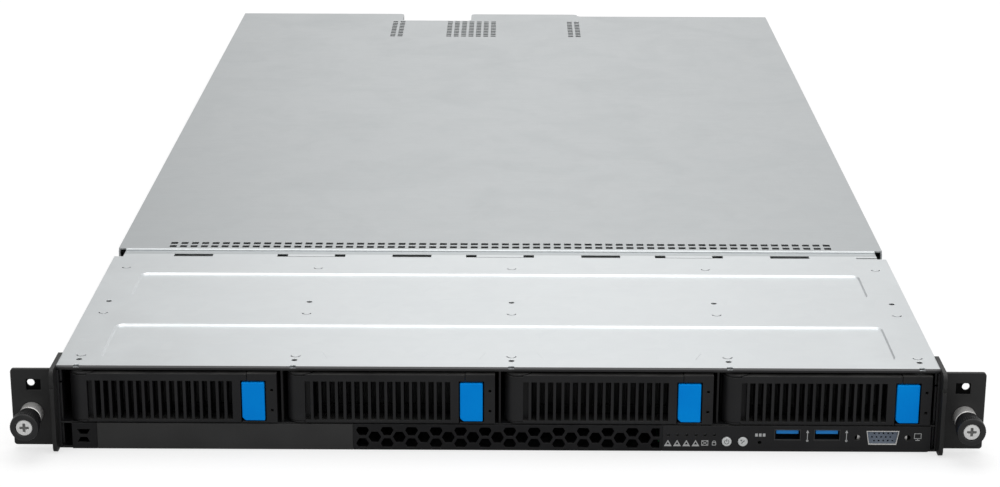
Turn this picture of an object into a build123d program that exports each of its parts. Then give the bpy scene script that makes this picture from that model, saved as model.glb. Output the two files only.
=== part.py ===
from build123d import *
from math import cos, radians, sin, sqrt
import os

os.makedirs("parts", exist_ok=True)

# A 1U rack server with four 3.5 inch drive trays. Millimetres, +X to the right seen from the
# front, +Y to the back, +Z up. The origin is in the middle of the underside, in the plane of the
# rear faces of the rack ears, which is also the front edge of the top cover.

# Chassis tray
chassis_width = 439.5
chassis_height = 43.85
chassis_sheet = 1.0
rail_hole_radius = 2.2
rail_hole_first = 70.0
rail_hole_spacing = 260.0
rail_hole_count = 3
wall_notch_height = 5.0

# Rear outline, from left to right: power supplies, sockets, middle slot, right slot
rear_left_y = 839.8
rear_ports_y = 813.4
rear_middle_y = 839.2
rear_right_y = 831.5
step_left_x = -85.0
step_middle_x = -28.0
step_right_x = 61.0
rear_inset = 1.0
rear_corner_radius = 3.5

# Front cover
cover_sheet = 1.0
cover_lip = 2.2
joggle_y = 175.0
joggle_run = 2.5
joggle_drop = 1.0
strip_end_inset = 4.35
strip_rear_y = 191.4
pocket_depth = 0.8
pocket_slope = 45
pocket_inset = 19.95
pocket_corner = 4.5
front_pocket_y = (11.8, 61.6)
rear_pocket_y = (107.2, 146.0)
step_depth = 9.7
step_half_top = 12.5
step_half_bottom = 16.0
side_flange = 8.0
side_flange_gap = 0.15

# Fixing holes and half-round slits of the front cover. Small holes and pins that take no mount
# are drawn with a fixed number of sides, which keeps the mesh light.
small_round_sides = 12
hole_offset = 5.7
edge_hole_inset = 9.0
cover_hole_radius = 1.5
hole_rows_y = (0.5, 9.0, 97.6)
slit_rows_y = (15.6, 79.8, 156.0)
slit_radius = 2.6
slit_width = 0.7

# Slots in the strip between the covers
slot_front_y = 178.8
slot_width = 4.8
slot_pitch = 108.0
open_slot_length = 22.2
open_slot_first = -175.4
open_slot_second = -50.4
bridge_length = 38.8
bridge_first = -108.0
bridge_end = 6.0
bridge_slit = 0.9
last_slit_length = 12.1

# Rear cover
cover_gap = 0.2
rear_cover_y = 189.4
tongue_reach = 7.6
tongue_length = 30.0
tongue_gap = 0.3
tongue_sheet = 0.8
rear_cover_bend = 0.7
rear_flange_front = 204.0
rear_flange_margin = 20.0
vent_size = 4.0
vent_pitch = 6.0
vent_columns = 64
vent_row_y = 194.6
vent_rows = 2
top_vent_rows = 10
top_vent_front_y = 751.6
top_vent_groups = ((-87.6, 2), (-27.1, 7), (56.9, 2))

# Rack ears, measured from the sides of the chassis
screw_offset = 12.8
ear_reach = 22.55
ear_plate = 2.0
ear_bottom = 2.25
ear_height = 40.3
ear_corner = 1.5
fin_thickness = 2.0
fin_front_y = -9.0
fin_rear_y = 20.0
fin_bottom = 0.2
fin_top = 44.3
fin_corner = 3.5
fin_notch_z = 35.5
fin_notch_size = 1.2
screw_height = 19.2
rack_hole_rise = 15.875
rack_hole_radius = 1.9
window_width = 7.4
window_height = 5.9
window_depth = 1.0
window_offset = 7.65
window_bottom = 31.3

# Captive thumbscrews
ferrule_radius = 5.75
ferrule_length = 7.5
screw_radius = 2.4
screw_reach = 6.0
thread_start = 0.4
shank_radius = 1.9
running_gap = 0.08
knob_gap = 0.3
knob_radius = 7.15
knob_length = 12.5
knob_flange = 4.5
knob_barrel_radius = 6.2
knob_flutes = 24
knob_edge = 0.8
screw_face_radius = 4.3
screw_face_depth = 2.5
cross_width = 1.0
cross_length = 4.6
cross_depth = 1.4

# Drive cage and bays
bay_count = 4
bay_pitch = 108.6
cage_offset = 1.0
cage_sheet = 1.0
cage_depth = 176.0
shelf_top = 14.2
shelf_sheet = 0.8
divider_top = 41.6
divider_rear_y = 165.0
tab_width = 13.0
tab_ranges_y = ((3.0, 18.5), (72.0, 103.0), (149.5, 164.0))

# Drive trays
tray_width = 103.8
tray_bottom = 14.6
tray_height = 26.0
face_y = -2.2
tray_rail = 1.1
tray_rail_height = 15.0
tray_rail_rear_y = 158.0
cross_y = 13.0
cross_sheet = 1.6
window_count = 7
window_web = 4.0
lug_sheet = 0.9
frame_right_strip = 5.4
frame_top_bar = 3.6
frame_bottom_bar = 0.7
frame_seam = 0.3
tray_led_radius = 0.7
tray_led_inset = 2.5
tray_led_heights = (21.2, 31.9)
tray_led_depth = 3.0

# Release levers
pivot_radius = 7.0
pin_radius = 1.5
lever_depth = 9.0
lever_margin = 0.25
lug_gap = 0.3
grille_first = 9.2
grille_pitch = 4.1
grille_slot = 2.7
grille_count = 18
grille_bottom = 16.2
grille_height = 20.5
barrel_front_cut = 3.7

# Release buttons
button_left = 86.4
button_width = 11.3
button_bottom = 15.8
button_height = 20.3
button_front = 0.5
button_depth = 11.6
button_gap = 0.6
button_chamfer = 1.6
lever_over_button = 2.4

# Hard drives
drive_width = 101.6
drive_length = 147.0
drive_height = 26.1
drive_gap = 0.8
drive_lid = 3.0
drive_corner = 4.0
drive_plug_width = 42.0
drive_plug_depth = 5.0
drive_plug_height = 6.0

# Backplane
backplane_y = 170.4
board_sheet = 1.6
backplane_top = 40.5
backplane_vent_width = 44.0
backplane_vent_height = 12.0
connector_gap = 0.5

# Lower strip: blank panel, honeycomb panel and socket panel
strip_bottom = 0.3
strip_top = 13.9
strip_sheet = 1.5
strip_seam = 0.15
corner_piece_inset = 6.55
corner_piece_width = 12.6
blank_width = 128.2
io_panel_width = 134.2
io_panel_inset = 3.15
panel_corner = 2.0
hex_pitch = 7.085
hex_web = 1.35
hex_first = 10.9
hex_z = 7.1
mesh_margin = 1.4
corner_window_inset = 5.8
smallest_hole = 2.0

# Front sockets, lights and buttons, placed from the left end of the socket panel
light_first = 2.8
light_pitch = 4.62
light_count = 6
light_z = 9.05
light_radius = 0.75
light_gap = 0.08
light_inset = 1.2
light_length = 9.0
press_z = 5.5
power_place = 32.2
locate_place = 40.3
press_radius = 2.4
press_gap = 0.25
press_proud = 0.5
press_collar = 0.8
press_collar_width = 0.7
reset_place = 48.7
reset_z = 5.0
reset_radius = 0.9
usb_places = (62.55, 82.3)
usb_z = 9.25
usb_width = 13.1
usb_height = 5.7
usb_depth = 14.0
usb_wall = 0.3
usb_tongue_height = 1.9
usb_tongue_side = 0.7
usb_tongue_drop = 0.5
usb_tongue_inset = 1.2
usb_foot = 6.0
vga_place = 110.1
vga_z = 7.85
vga_width = 16.4
vga_height = 7.4
vga_slant = 1.2
vga_wall = 0.4
vga_depth = 12.0
vga_flange = 0.8
vga_screw_spacing = 25.0
vga_screw_radius = 1.5
vga_pin_radius = 0.42
vga_pin_pitch = 2.29
vga_row_pitch = 1.98
panel_gap = 0.15

# Board behind the socket panel
io_board_front_y = 3.5
io_board_depth = 60.0

# Fans
fan_count = 6
fan_pitch = 70.0
fan_size = 40.0
fan_front_y = 206.0
fan_depth = 38.0
fan_bore = 19.0
fan_hub_radius = 9.0
fan_spoke = 2.0
fan_motor_depth = 12.0
fan_shaft_radius = 1.5
fan_shaft_inset = 2.0
rotor_gap = 0.4
rotor_length = 18.0
blade_tip_gap = 0.6
blade_count = 7
blade_thickness = 1.2
blade_chord = 15.0
blade_tilt = 35

# Main board
board_bottom = 6.0
board_front_y = 300.0
board_margin = 4.0
board_left_margin = 4.75
standoff_radius = 3.2
socket_size = (72.0, 84.0)
socket_height = 4.0
socket_positions = ((-100.0, 440.0), (100.0, 440.0))
heatsink_size = (80.0, 110.0)
heatsink_base = 4.0
heatsink_top = 38.5
fin_count = 14
heatsink_fin = 1.0
module_length = 133.35
module_thickness = 3.2
module_top = 39.0
module_seat = 1.2
slot_strip = (140.0, 6.5, 7.0)
modules_per_side = 4
module_pitch = 9.0
module_first = 50.0

# Air duct over the processors
duct_sheet = 1.2
duct_half_width = 200.0
duct_front_y = 372.0
duct_rear_y = 512.0
duct_top = 41.2

# Power supplies
psu_width = 60.5
psu_height = 39.3
psu_length = 185.0
psu_bottom = 1.3
psu_gap = 0.8
psu_wall_front_y = 640.0
psu_wall_top = 41.6
psu_inlet = (27.0, 19.4)
psu_inlet_depth = 14.0
psu_inlet_x = 12.5
psu_inlet_z = 12.5
inlet_pin = (2.0, 8.0, 6.0)
inlet_pin_spread = 7.0
psu_fan_radius = 15.0
psu_fan_hub = 5.0
psu_grille_turns = (0, 45, 90, 135)
psu_fan_x = -12.5
psu_fan_depth = 1.5
psu_grille_bar = 1.4
handle_rise = 16.0
handle_bar = 4.0
handle_bottom = 9.0
handle_height = 20.0
handle_x = -2.0
latch_width = 7.0
latch_height = 10.0
latch_reach = 9.0
latch_gap = 0.35
latch_travel = 1.5
latch_z = 28.0
latch_inset = 4.0
latch_pocket = 8.0

# Rear sockets and slot plates
port_sizes = ((16.0, 13.2), (16.0, 13.2), (13.4, 15.6))
port_first_x = -79.0
port_spacing = 3.0
port_depth = 21.0
port_wall = 1.2
port_hole_depth = 9.0
slot_window_height = 18.0
slot_window_z = 28.0
slot_plate = 0.8
slot_margin = 9.0
rear_panel_gap = 0.4
rear_vent = (3.2, 9.0)
rear_vent_pitch = 5.2
rear_vent_z = 11.0
rear_vent_margin = 14.0

# Cover screws in the side walls
cover_screw_y = (32.0, 150.0)
cover_screw_z = 38.5
cover_screw_radius = 1.5
cover_screw_head = 2.7
cover_screw_head_height = 0.6
cover_screw_reach = 1.0
screw_fit = 0.05

# Places that follow from the sizes above
half_width = chassis_width / 2
inner_half = half_width - chassis_sheet
cover_underside = chassis_height - cover_sheet
wall_top = cover_underside - cover_gap
strip_surface = chassis_height - joggle_drop
strip_underside = strip_surface - cover_sheet
flange_outer = inner_half - side_flange_gap
strip_half_width = half_width - strip_end_inset
last_slit_left = strip_half_width - last_slit_length
pocket_half_width = half_width - pocket_inset
window_inner_x = half_width + window_offset
bay_centres = [cage_offset + bay_pitch * (i - (bay_count - 1) / 2) for i in range(bay_count)]
divider_centres = [cage_offset + bay_pitch * (i - (bay_count - 2) / 2) for i in range(bay_count - 1)]
fixing_columns = [x + hole_offset for x in divider_centres]
outer_columns = [-(half_width - edge_hole_inset - cage_offset), half_width - edge_hole_inset]
cover_columns = [outer_columns[0]] + fixing_columns + [outer_columns[1]]
tray_half = tray_width / 2
tray_top = tray_bottom + tray_height
tray_left = -tray_half
pivot_x = tray_left + pivot_radius
pivot_y = face_y + pivot_radius
button_left_x = tray_left + button_left
button_right_x = button_left_x + button_width
button_top = button_bottom + button_height
lever_right_x = button_left_x - button_gap
lever_bar_right_x = button_left_x + lever_over_button
bar_bottom = tray_top - frame_top_bar
drive_front_y = cross_y + cross_sheet + drive_gap
drive_bottom = tray_bottom + lug_gap
strip_back_y = face_y + strip_sheet
front_overhang = -strip_back_y
strip_middle_z = (strip_bottom + strip_top) / 2
strip_height = strip_top - strip_bottom
screw_x = half_width + screw_offset
corner_piece_left = -(half_width - corner_piece_inset)
corner_window_x = corner_piece_left + corner_window_inset
blank_left = corner_piece_left + corner_piece_width
blank_right = blank_left + blank_width
panel_right = half_width - io_panel_inset
mesh_right = panel_right - io_panel_width
hex_first_x = blank_right + hex_first
light_first_x = mesh_right + light_first
power_x = mesh_right + power_place
locate_x = mesh_right + locate_place
reset_x = mesh_right + reset_place
usb_positions = [mesh_right + place for place in usb_places]
vga_x = mesh_right + vga_place
psu_bay_left = -inner_half
psu_1_x = psu_bay_left + psu_gap + psu_width / 2
psu_divider_x = psu_1_x + psu_width / 2 + psu_gap + cage_sheet / 2
psu_2_x = psu_divider_x + cage_sheet / 2 + psu_gap + psu_width / 2
psu_wall_x = psu_2_x + psu_width / 2 + psu_gap + cage_sheet / 2
psu_rear_y = rear_left_y - rear_inset
psu_front_y = psu_rear_y - psu_length
board_top = board_bottom + board_sheet
board_left_front_x = -(inner_half - board_left_margin)


def front_plane(y):
    """Plane at the depth y, drawn with X to the right and Z up, facing the front."""
    return Plane.XZ.offset(-y)


def side_plane(x):
    """Plane at the place x across, drawn with Y to the right and Z up, facing +X."""
    return Plane.YZ.offset(x)


def between(low, high):
    """Centre and length of the stretch from low to high."""
    return (low + high) / 2, high - low


def block(x_range, y_range, z_range, mode=Mode.ADD):
    """A box between two corners, joined to the part that is being built."""
    (x, width), (y, depth), (z, height) = between(*x_range), between(*y_range), between(*z_range)
    with Locations((x, y, z)):
        Box(width, depth, height, mode=mode)


def small_round(radius, mode=Mode.ADD):
    """A small round hole with its flats at the radius."""
    RegularPolygon(radius, small_round_sides, major_radius=False, mode=mode)


def save(shape, name):
    """Give the finished piece its name and write it."""
    shape.label = name
    export_step(shape, f"parts/{name}.step")


def rear_outline(inset):
    """Points of the stepped rear edge, from left to right, moved to the front by inset."""
    left, ports = rear_left_y - inset, rear_ports_y - inset
    middle, right = rear_middle_y - inset, rear_right_y - inset
    return [
        (-half_width, left),
        (step_left_x, left),
        (step_left_x, ports),
        (step_middle_x, ports),
        (step_middle_x, middle),
        (step_right_x, middle),
        (step_right_x, right),
        (half_width, right),
    ]


# Chassis tray: floor and two side walls from one sheet
with BuildPart() as chassis_base:
    with BuildSketch(Plane.XY):
        with BuildLine():
            corners = [(-half_width, -front_overhang)] + rear_outline(rear_inset)
            Polyline(corners + [(half_width, -front_overhang)], close=True)
        make_face()
    extrude(amount=chassis_sheet)
    for side, wall_rear_y in ((-1, rear_left_y), (1, rear_right_y)):
        wall_x = sorted((side * half_width, side * inner_half))
        block(wall_x, (-front_overhang, wall_rear_y - rear_inset), (0, wall_top))
        lip_z = (chassis_height - cover_lip - cover_gap, wall_top)
        block(wall_x, (-front_overhang, cover_sheet + cover_gap), lip_z, mode=Mode.SUBTRACT)
        notch_z = (wall_top - wall_notch_height, wall_top)
        block(wall_x, (joggle_y + joggle_run, rear_cover_y), notch_z, mode=Mode.SUBTRACT)
        with BuildSketch(side_plane(0)):
            for i in range(rail_hole_count):
                with Locations((rail_hole_first + i * rail_hole_spacing, chassis_height / 2)):
                    Circle(rail_hole_radius)
            with Locations([(y, cover_screw_z) for y in cover_screw_y]):
                small_round(cover_screw_radius + screw_fit)
        extrude(amount=side * half_width, mode=Mode.SUBTRACT)
save(chassis_base.part, "chassis_base")


# Rear panel: a stepped wall with the power supply opening, port openings and slot plates
def rear_wall_outline():
    """Closed outline of the stepped wall, one sheet thick."""
    back = rear_outline(rear_inset)[1:-1]
    folds = (-chassis_sheet, -chassis_sheet, chassis_sheet, chassis_sheet, -chassis_sheet, -chassis_sheet)
    front = [(x + fold, y - chassis_sheet) for (x, y), fold in zip(back, folds)]
    left, right = rear_left_y - rear_inset, rear_right_y - rear_inset
    back = [(-inner_half, left)] + back + [(inner_half, right)]
    front = [(-inner_half, left - chassis_sheet)] + front + [(inner_half, right - chassis_sheet)]
    return back + front[::-1]


slot_windows = (
    (step_middle_x, step_right_x, rear_middle_y),
    (step_right_x, inner_half, rear_right_y),
)
port_centres = []
port_edge = port_first_x
for port_width, port_height in port_sizes:
    port_centres.append(port_edge + port_width / 2)
    port_edge += port_width + port_spacing

with BuildPart() as rear_panel:
    with BuildSketch(Plane.XY.offset(chassis_sheet)):
        with BuildLine():
            Polyline(rear_wall_outline(), close=True)
        make_face()
    extrude(amount=wall_top - chassis_sheet)
    psu_opening_x = (psu_bay_left + psu_gap / 2, psu_wall_x - cage_sheet)
    psu_opening_z = (psu_bottom - psu_gap / 2, psu_bottom + psu_height + psu_gap / 2)
    wall_cut_y = (psu_rear_y - 2 * chassis_sheet, psu_rear_y + chassis_sheet)
    block(psu_opening_x, wall_cut_y, psu_opening_z, mode=Mode.SUBTRACT)
    for centre, (port_width, port_height) in zip(port_centres, port_sizes):
        port_x = (centre - port_width / 2 - panel_gap, centre + port_width / 2 + panel_gap)
        port_z = (board_top - panel_gap, board_top + port_height + panel_gap)
        port_cut_y = (rear_ports_y - rear_inset - 2 * chassis_sheet, rear_ports_y)
        block(port_x, port_cut_y, port_z, mode=Mode.SUBTRACT)
    for left, right, y in slot_windows:
        wall_y = y - rear_inset
        with BuildSketch(front_plane(wall_y)):
            with Locations(((left + right) / 2, slot_window_z)):
                Rectangle(right - left - 2 * slot_margin, slot_window_height)
        extrude(amount=-(chassis_sheet - slot_plate), mode=Mode.SUBTRACT)
        vent_span = right - left - 2 * rear_vent_margin
        columns = int(vent_span / rear_vent_pitch)
        with BuildSketch(front_plane(wall_y)):
            with Locations(((left + right) / 2, rear_vent_z)):
                with GridLocations(rear_vent_pitch, 1, columns, 1):
                    Rectangle(*rear_vent)
        extrude(amount=-chassis_sheet, mode=Mode.SUBTRACT)
save(rear_panel.part, "rear_panel")


# Front cover: lip, flat sheet, stamped pockets, and a lowered strip behind the joggle
def pocket_outline(y_range, steps):
    """Outline of a stamped pocket. Where steps are given, its front edge steps back round them."""
    front, rear = y_range
    points = [(-pocket_half_width, rear), (-pocket_half_width, front)]
    for x in steps:
        points.append((x - step_half_bottom, front))
        points.append((x - step_half_top, front + step_depth))
        points.append((x + step_half_top, front + step_depth))
        points.append((x + step_half_bottom, front))
    return points + [(pocket_half_width, front), (pocket_half_width, rear)]


def pocket(y_range, steps, z, mode):
    """One stamped pocket with sloping sides, cut or added downwards from the height z."""
    with BuildSketch(Plane.XY.offset(z)) as outline:
        with BuildLine():
            Polyline(pocket_outline(y_range, steps), close=True)
        make_face()
        corners = outline.vertices().group_by(Axis.X)
        fillet(corners[0] + corners[-1], radius=pocket_corner)
    extrude(outline.sketch, amount=-pocket_depth, taper=pocket_slope, mode=mode)


cover_profile = [
    (0, chassis_height - cover_lip),
    (0, chassis_height),
    (joggle_y, chassis_height),
    (joggle_y + joggle_run, strip_surface),
    (strip_rear_y, strip_surface),
    (strip_rear_y, strip_underside),
    (joggle_y + joggle_run, strip_underside),
    (joggle_y, cover_underside),
    (cover_sheet, cover_underside),
    (cover_sheet, chassis_height - cover_lip),
]
bridge_places = [bridge_first + i * slot_pitch for i in range(bay_count - 1)]
open_places = [open_slot_second + i * slot_pitch for i in range(bay_count - 1)]
open_places.insert(0, open_slot_first)
with BuildPart() as front_cover:
    with BuildSketch(side_plane(-half_width)):
        with BuildLine():
            Polyline(cover_profile, close=True)
        make_face()
    extrude(amount=chassis_width)
    for side in (-1, 1):
        end_x = sorted((side * half_width, side * strip_half_width))
        strip_y = (joggle_y + joggle_run, strip_rear_y)
        block(end_x, strip_y, (strip_underside, chassis_height), mode=Mode.SUBTRACT)
        flange_x = sorted((side * flange_outer, side * (flange_outer - cover_sheet)))
        flange_z = (cover_underside - side_flange, cover_underside)
        block(flange_x, (2 * cover_sheet, joggle_y), flange_z)
    for y_range, steps in ((front_pocket_y, fixing_columns), (rear_pocket_y, [])):
        pocket(y_range, steps, cover_underside, Mode.ADD)
        pocket(y_range, steps, chassis_height, Mode.SUBTRACT)
    with BuildSketch(Plane.XY.offset(chassis_height)):
        for row in hole_rows_y:
            with Locations([(x, row) for x in cover_columns]):
                small_round(cover_hole_radius)
        for row in slit_rows_y:
            with Locations([(x, row) for x in cover_columns]):
                small_round(slit_radius)
                small_round(slit_radius - slit_width, mode=Mode.SUBTRACT)
            with Locations([(x, row + slit_radius) for x in cover_columns]):
                Rectangle(3 * slit_radius, 2 * slit_radius, mode=Mode.SUBTRACT)
    extrude(amount=-cover_sheet, mode=Mode.SUBTRACT)
    with BuildSketch(Plane.XY.offset(strip_surface)):
        slot_y = slot_front_y + slot_width / 2
        with Locations([(x, slot_y) for x in open_places]):
            Rectangle(open_slot_length, slot_width)
        for x in bridge_places:
            ends = (bridge_length - bridge_end) / 2
            with Locations((x - ends, slot_y), (x + ends, slot_y)):
                Rectangle(bridge_end, slot_width)
            with Locations((x, slot_front_y + bridge_slit / 2)):
                Rectangle(bridge_length, bridge_slit)
        middle, length = between(last_slit_left, strip_half_width)
        with Locations((middle, slot_front_y + bridge_slit)):
            Rectangle(length, 2 * bridge_slit)
    extrude(amount=-cover_sheet, mode=Mode.SUBTRACT)
    with BuildSketch(side_plane(0)):
        with Locations([(y, cover_screw_z) for y in cover_screw_y]):
            small_round(cover_screw_radius + screw_fit)
    extrude(amount=half_width, both=True, mode=Mode.SUBTRACT)
save(front_cover.part, "front_cover")


# Rear cover: flat sheet with stepped rear edge, vents, side flanges and hooks under the strip
vent_places = [
    ((i - (vent_columns - 1) / 2) * vent_pitch, vent_row_y + j * vent_pitch)
    for i in range(vent_columns)
    for j in range(vent_rows)
]
for centre, columns in top_vent_groups:
    vent_places += [
        (centre + (i - (columns - 1) / 2) * vent_pitch, top_vent_front_y + (j + 0.5) * vent_pitch)
        for i in range(columns)
        for j in range(top_vent_rows)
    ]
tongue_top = strip_underside - tongue_gap
tongue_stem_y = strip_rear_y + tongue_gap
tongue_profile = [
    (strip_rear_y - tongue_reach, tongue_top),
    (tongue_stem_y, tongue_top),
    (tongue_stem_y, cover_underside),
    (tongue_stem_y + tongue_sheet, cover_underside),
    (tongue_stem_y + tongue_sheet, tongue_top - tongue_sheet),
    (strip_rear_y - tongue_reach, tongue_top - tongue_sheet),
]
with BuildPart() as rear_cover:
    with BuildSketch(Plane.XY.offset(cover_underside)) as outline:
        with BuildLine():
            edge = rear_outline(0)
            Polyline([(-half_width, rear_cover_y)] + edge + [(half_width, rear_cover_y)], close=True)
        make_face()
        steps = [v for v in outline.vertices() if abs(v.X) < half_width - rear_inset]
        fillet(steps, radius=rear_corner_radius)
        corner_x, corner_width = between(strip_half_width, half_width)
        with Locations((-corner_x, rear_cover_y), (corner_x, rear_cover_y)):
            Rectangle(corner_width, 2 * rear_inset, mode=Mode.SUBTRACT)
        with Locations(vent_places):
            Rectangle(vent_size, vent_size, mode=Mode.SUBTRACT)
    extrude(amount=cover_sheet)
    front_edges = rear_cover.edges().filter_by(Axis.X).group_by(Axis.Y)[0]
    chamfer(front_edges.group_by(Axis.Z)[-1], length=rear_cover_bend)
    flange_rears = (psu_wall_front_y - psu_gap, rear_right_y - rear_flange_margin)
    for side, flange_rear in zip((-1, 1), flange_rears):
        flange_x = sorted((side * flange_outer, side * (flange_outer - cover_sheet)))
        flange_z = (cover_underside - side_flange, cover_underside)
        block(flange_x, (rear_flange_front, flange_rear), flange_z)
    for x in open_places:
        with BuildSketch(side_plane(x - tongue_length / 2)):
            with BuildLine():
                Polyline(tongue_profile, close=True)
            make_face()
        extrude(amount=tongue_length)
save(rear_cover.part, "rear_cover")


# Drive cage: shelf under the trays and two outer walls, from one sheet
with BuildPart() as drive_cage:
    block((-inner_half, inner_half), (strip_back_y, cage_depth), (shelf_top - shelf_sheet, shelf_top))
    for side in (-1, 1):
        wall_x = sorted((side * inner_half, side * (inner_half - cage_sheet)))
        wall_top_z = cover_underside - side_flange - cage_sheet
        block(wall_x, (2 * cage_sheet, cage_depth), (chassis_sheet, wall_top_z))
    with BuildSketch(side_plane(0)):
        with Locations((rail_hole_first, chassis_height / 2)):
            Circle(rail_hole_radius + cage_sheet)
    extrude(amount=half_width, both=True, mode=Mode.SUBTRACT)
save(drive_cage.part, "drive_cage")


# Bay dividers: upright sheets whose top tabs carry the front cover
with BuildPart() as bay_dividers:
    for x in divider_centres:
        sheet_x = (x - cage_sheet / 2, x + cage_sheet / 2)
        block(sheet_x, (0, divider_rear_y), (shelf_top, divider_top))
        for tab_y in tab_ranges_y:
            block(sheet_x, tab_y, (divider_top, cover_underside))
            tab_x = (sheet_x[0], sheet_x[0] + tab_width)
            block(tab_x, tab_y, (cover_underside - shelf_sheet, cover_underside))
save(bay_dividers.part, "bay_dividers")


# Rack ears: a front plate with a side fin, a nut window and holes for rack screw and thumbscrew
def make_ear(side, name):
    """One rack ear. The side is -1 on the left and 1 on the right."""
    with BuildPart() as ear:
        fin_x = sorted((side * half_width, side * (half_width + fin_thickness)))
        with BuildSketch(side_plane(fin_x[0])) as fin:
            middle_y, depth = between(fin_front_y, fin_rear_y)
            middle_z, height = between(fin_bottom, fin_top)
            with Locations((middle_y, middle_z)):
                RectangleRounded(depth, height, fin_corner)
            with Locations((fin_front_y + fin_notch_size / 2, fin_notch_z)):
                Rectangle(fin_notch_size, 2 * fin_notch_size, mode=Mode.SUBTRACT)
        extrude(fin.sketch, amount=fin_thickness)
        with BuildSketch(front_plane(0)) as plate:
            middle_x, width = between(half_width, half_width + ear_reach)
            with Locations((side * middle_x, ear_bottom + ear_height / 2)):
                Rectangle(width, ear_height)
            outer = plate.vertices().group_by(Axis.X)[-1 if side > 0 else 0]
            fillet(outer, radius=ear_corner)
            with Locations((side * screw_x, screw_height)):
                Circle(screw_radius + running_gap, mode=Mode.SUBTRACT)
            with Locations((side * screw_x, screw_height + rack_hole_rise)):
                Circle(rack_hole_radius, mode=Mode.SUBTRACT)
        extrude(plate.sketch, amount=ear_plate)
        window_x = sorted((side * window_inner_x, side * (window_inner_x + window_width)))
        window_z = (window_bottom, window_bottom + window_height)
        block(window_x, (-ear_plate, window_depth - ear_plate), window_z, mode=Mode.SUBTRACT)
    save(ear.part, name)


make_ear(-1, "left_ear")
make_ear(1, "right_ear")


# Thumbscrews: a ferrule pressed into each ear, a knob and the screw that turns with it
with BuildPart() as screw_ferrules:
    for side in (-1, 1):
        with BuildSketch(front_plane(-ear_plate)):
            with Locations((side * screw_x, screw_height)):
                Circle(ferrule_radius)
                Circle(screw_radius + running_gap, mode=Mode.SUBTRACT)
        extrude(amount=ferrule_length)
    rims = screw_ferrules.edges().filter_by(GeomType.CIRCLE).group_by(Axis.Y)[0]
    outer_rims = [e for e in rims if e.radius > ferrule_radius / 2]
    chamfer(outer_rims, length=knob_edge)
save(screw_ferrules.part, "screw_ferrules")


def make_knob(side, name):
    """The black fluted grip of one thumbscrew, hollow at the front for the screw head."""
    knob_y = -ear_plate - ferrule_length - knob_gap
    with BuildPart() as knob:
        with BuildSketch(front_plane(knob_y)) as grip:
            with Locations((side * screw_x, screw_height)):
                RegularPolygon(knob_barrel_radius, knob_flutes)
                Circle(shank_radius, mode=Mode.SUBTRACT)
        extrude(grip.sketch, amount=knob_length)
        with BuildSketch(front_plane(knob_y - knob_length)) as flange:
            with Locations((side * screw_x, screw_height)):
                RegularPolygon(knob_radius, knob_flutes)
                Circle(screw_face_radius, mode=Mode.SUBTRACT)
        extrude(flange.sketch, amount=-knob_flange)
        with BuildSketch(front_plane(knob_y - knob_length)) as recess:
            with Locations((side * screw_x, screw_height)):
                Circle(screw_face_radius)
        extrude(recess.sketch, amount=-screw_face_depth, mode=Mode.SUBTRACT)
        chamfer(knob.edges().filter_by(GeomType.LINE).group_by(Axis.Y)[0], length=knob_edge)
    save(knob.part, name)


def make_screw(side, name):
    """The captive screw of one thumbscrew: threaded end, thinner shank and head with a cross recess."""
    front_y = -ear_plate - ferrule_length - knob_gap - knob_length
    with BuildPart() as screw:
        with BuildSketch(front_plane(screw_reach)) as thread:
            with Locations((side * screw_x, screw_height)):
                Circle(screw_radius)
        extrude(thread.sketch, amount=screw_reach - thread_start)
        with BuildSketch(front_plane(thread_start)) as shank:
            with Locations((side * screw_x, screw_height)):
                Circle(shank_radius)
        extrude(shank.sketch, amount=thread_start - front_y - screw_face_depth)
        with BuildSketch(front_plane(front_y + screw_face_depth)) as head:
            with Locations((side * screw_x, screw_height)):
                Circle(screw_face_radius)
        extrude(head.sketch, amount=screw_face_depth)
        with BuildSketch(front_plane(front_y)) as cross:
            with Locations((side * screw_x, screw_height)):
                Rectangle(cross_length, cross_width)
                Rectangle(cross_width, cross_length)
        extrude(cross.sketch, amount=-cross_depth, mode=Mode.SUBTRACT)
    save(screw.part, name)


for side, word in ((-1, "left"), (1, "right")):
    make_knob(side, f"{word}_knob")
    make_screw(side, f"{word}_screw")


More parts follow.
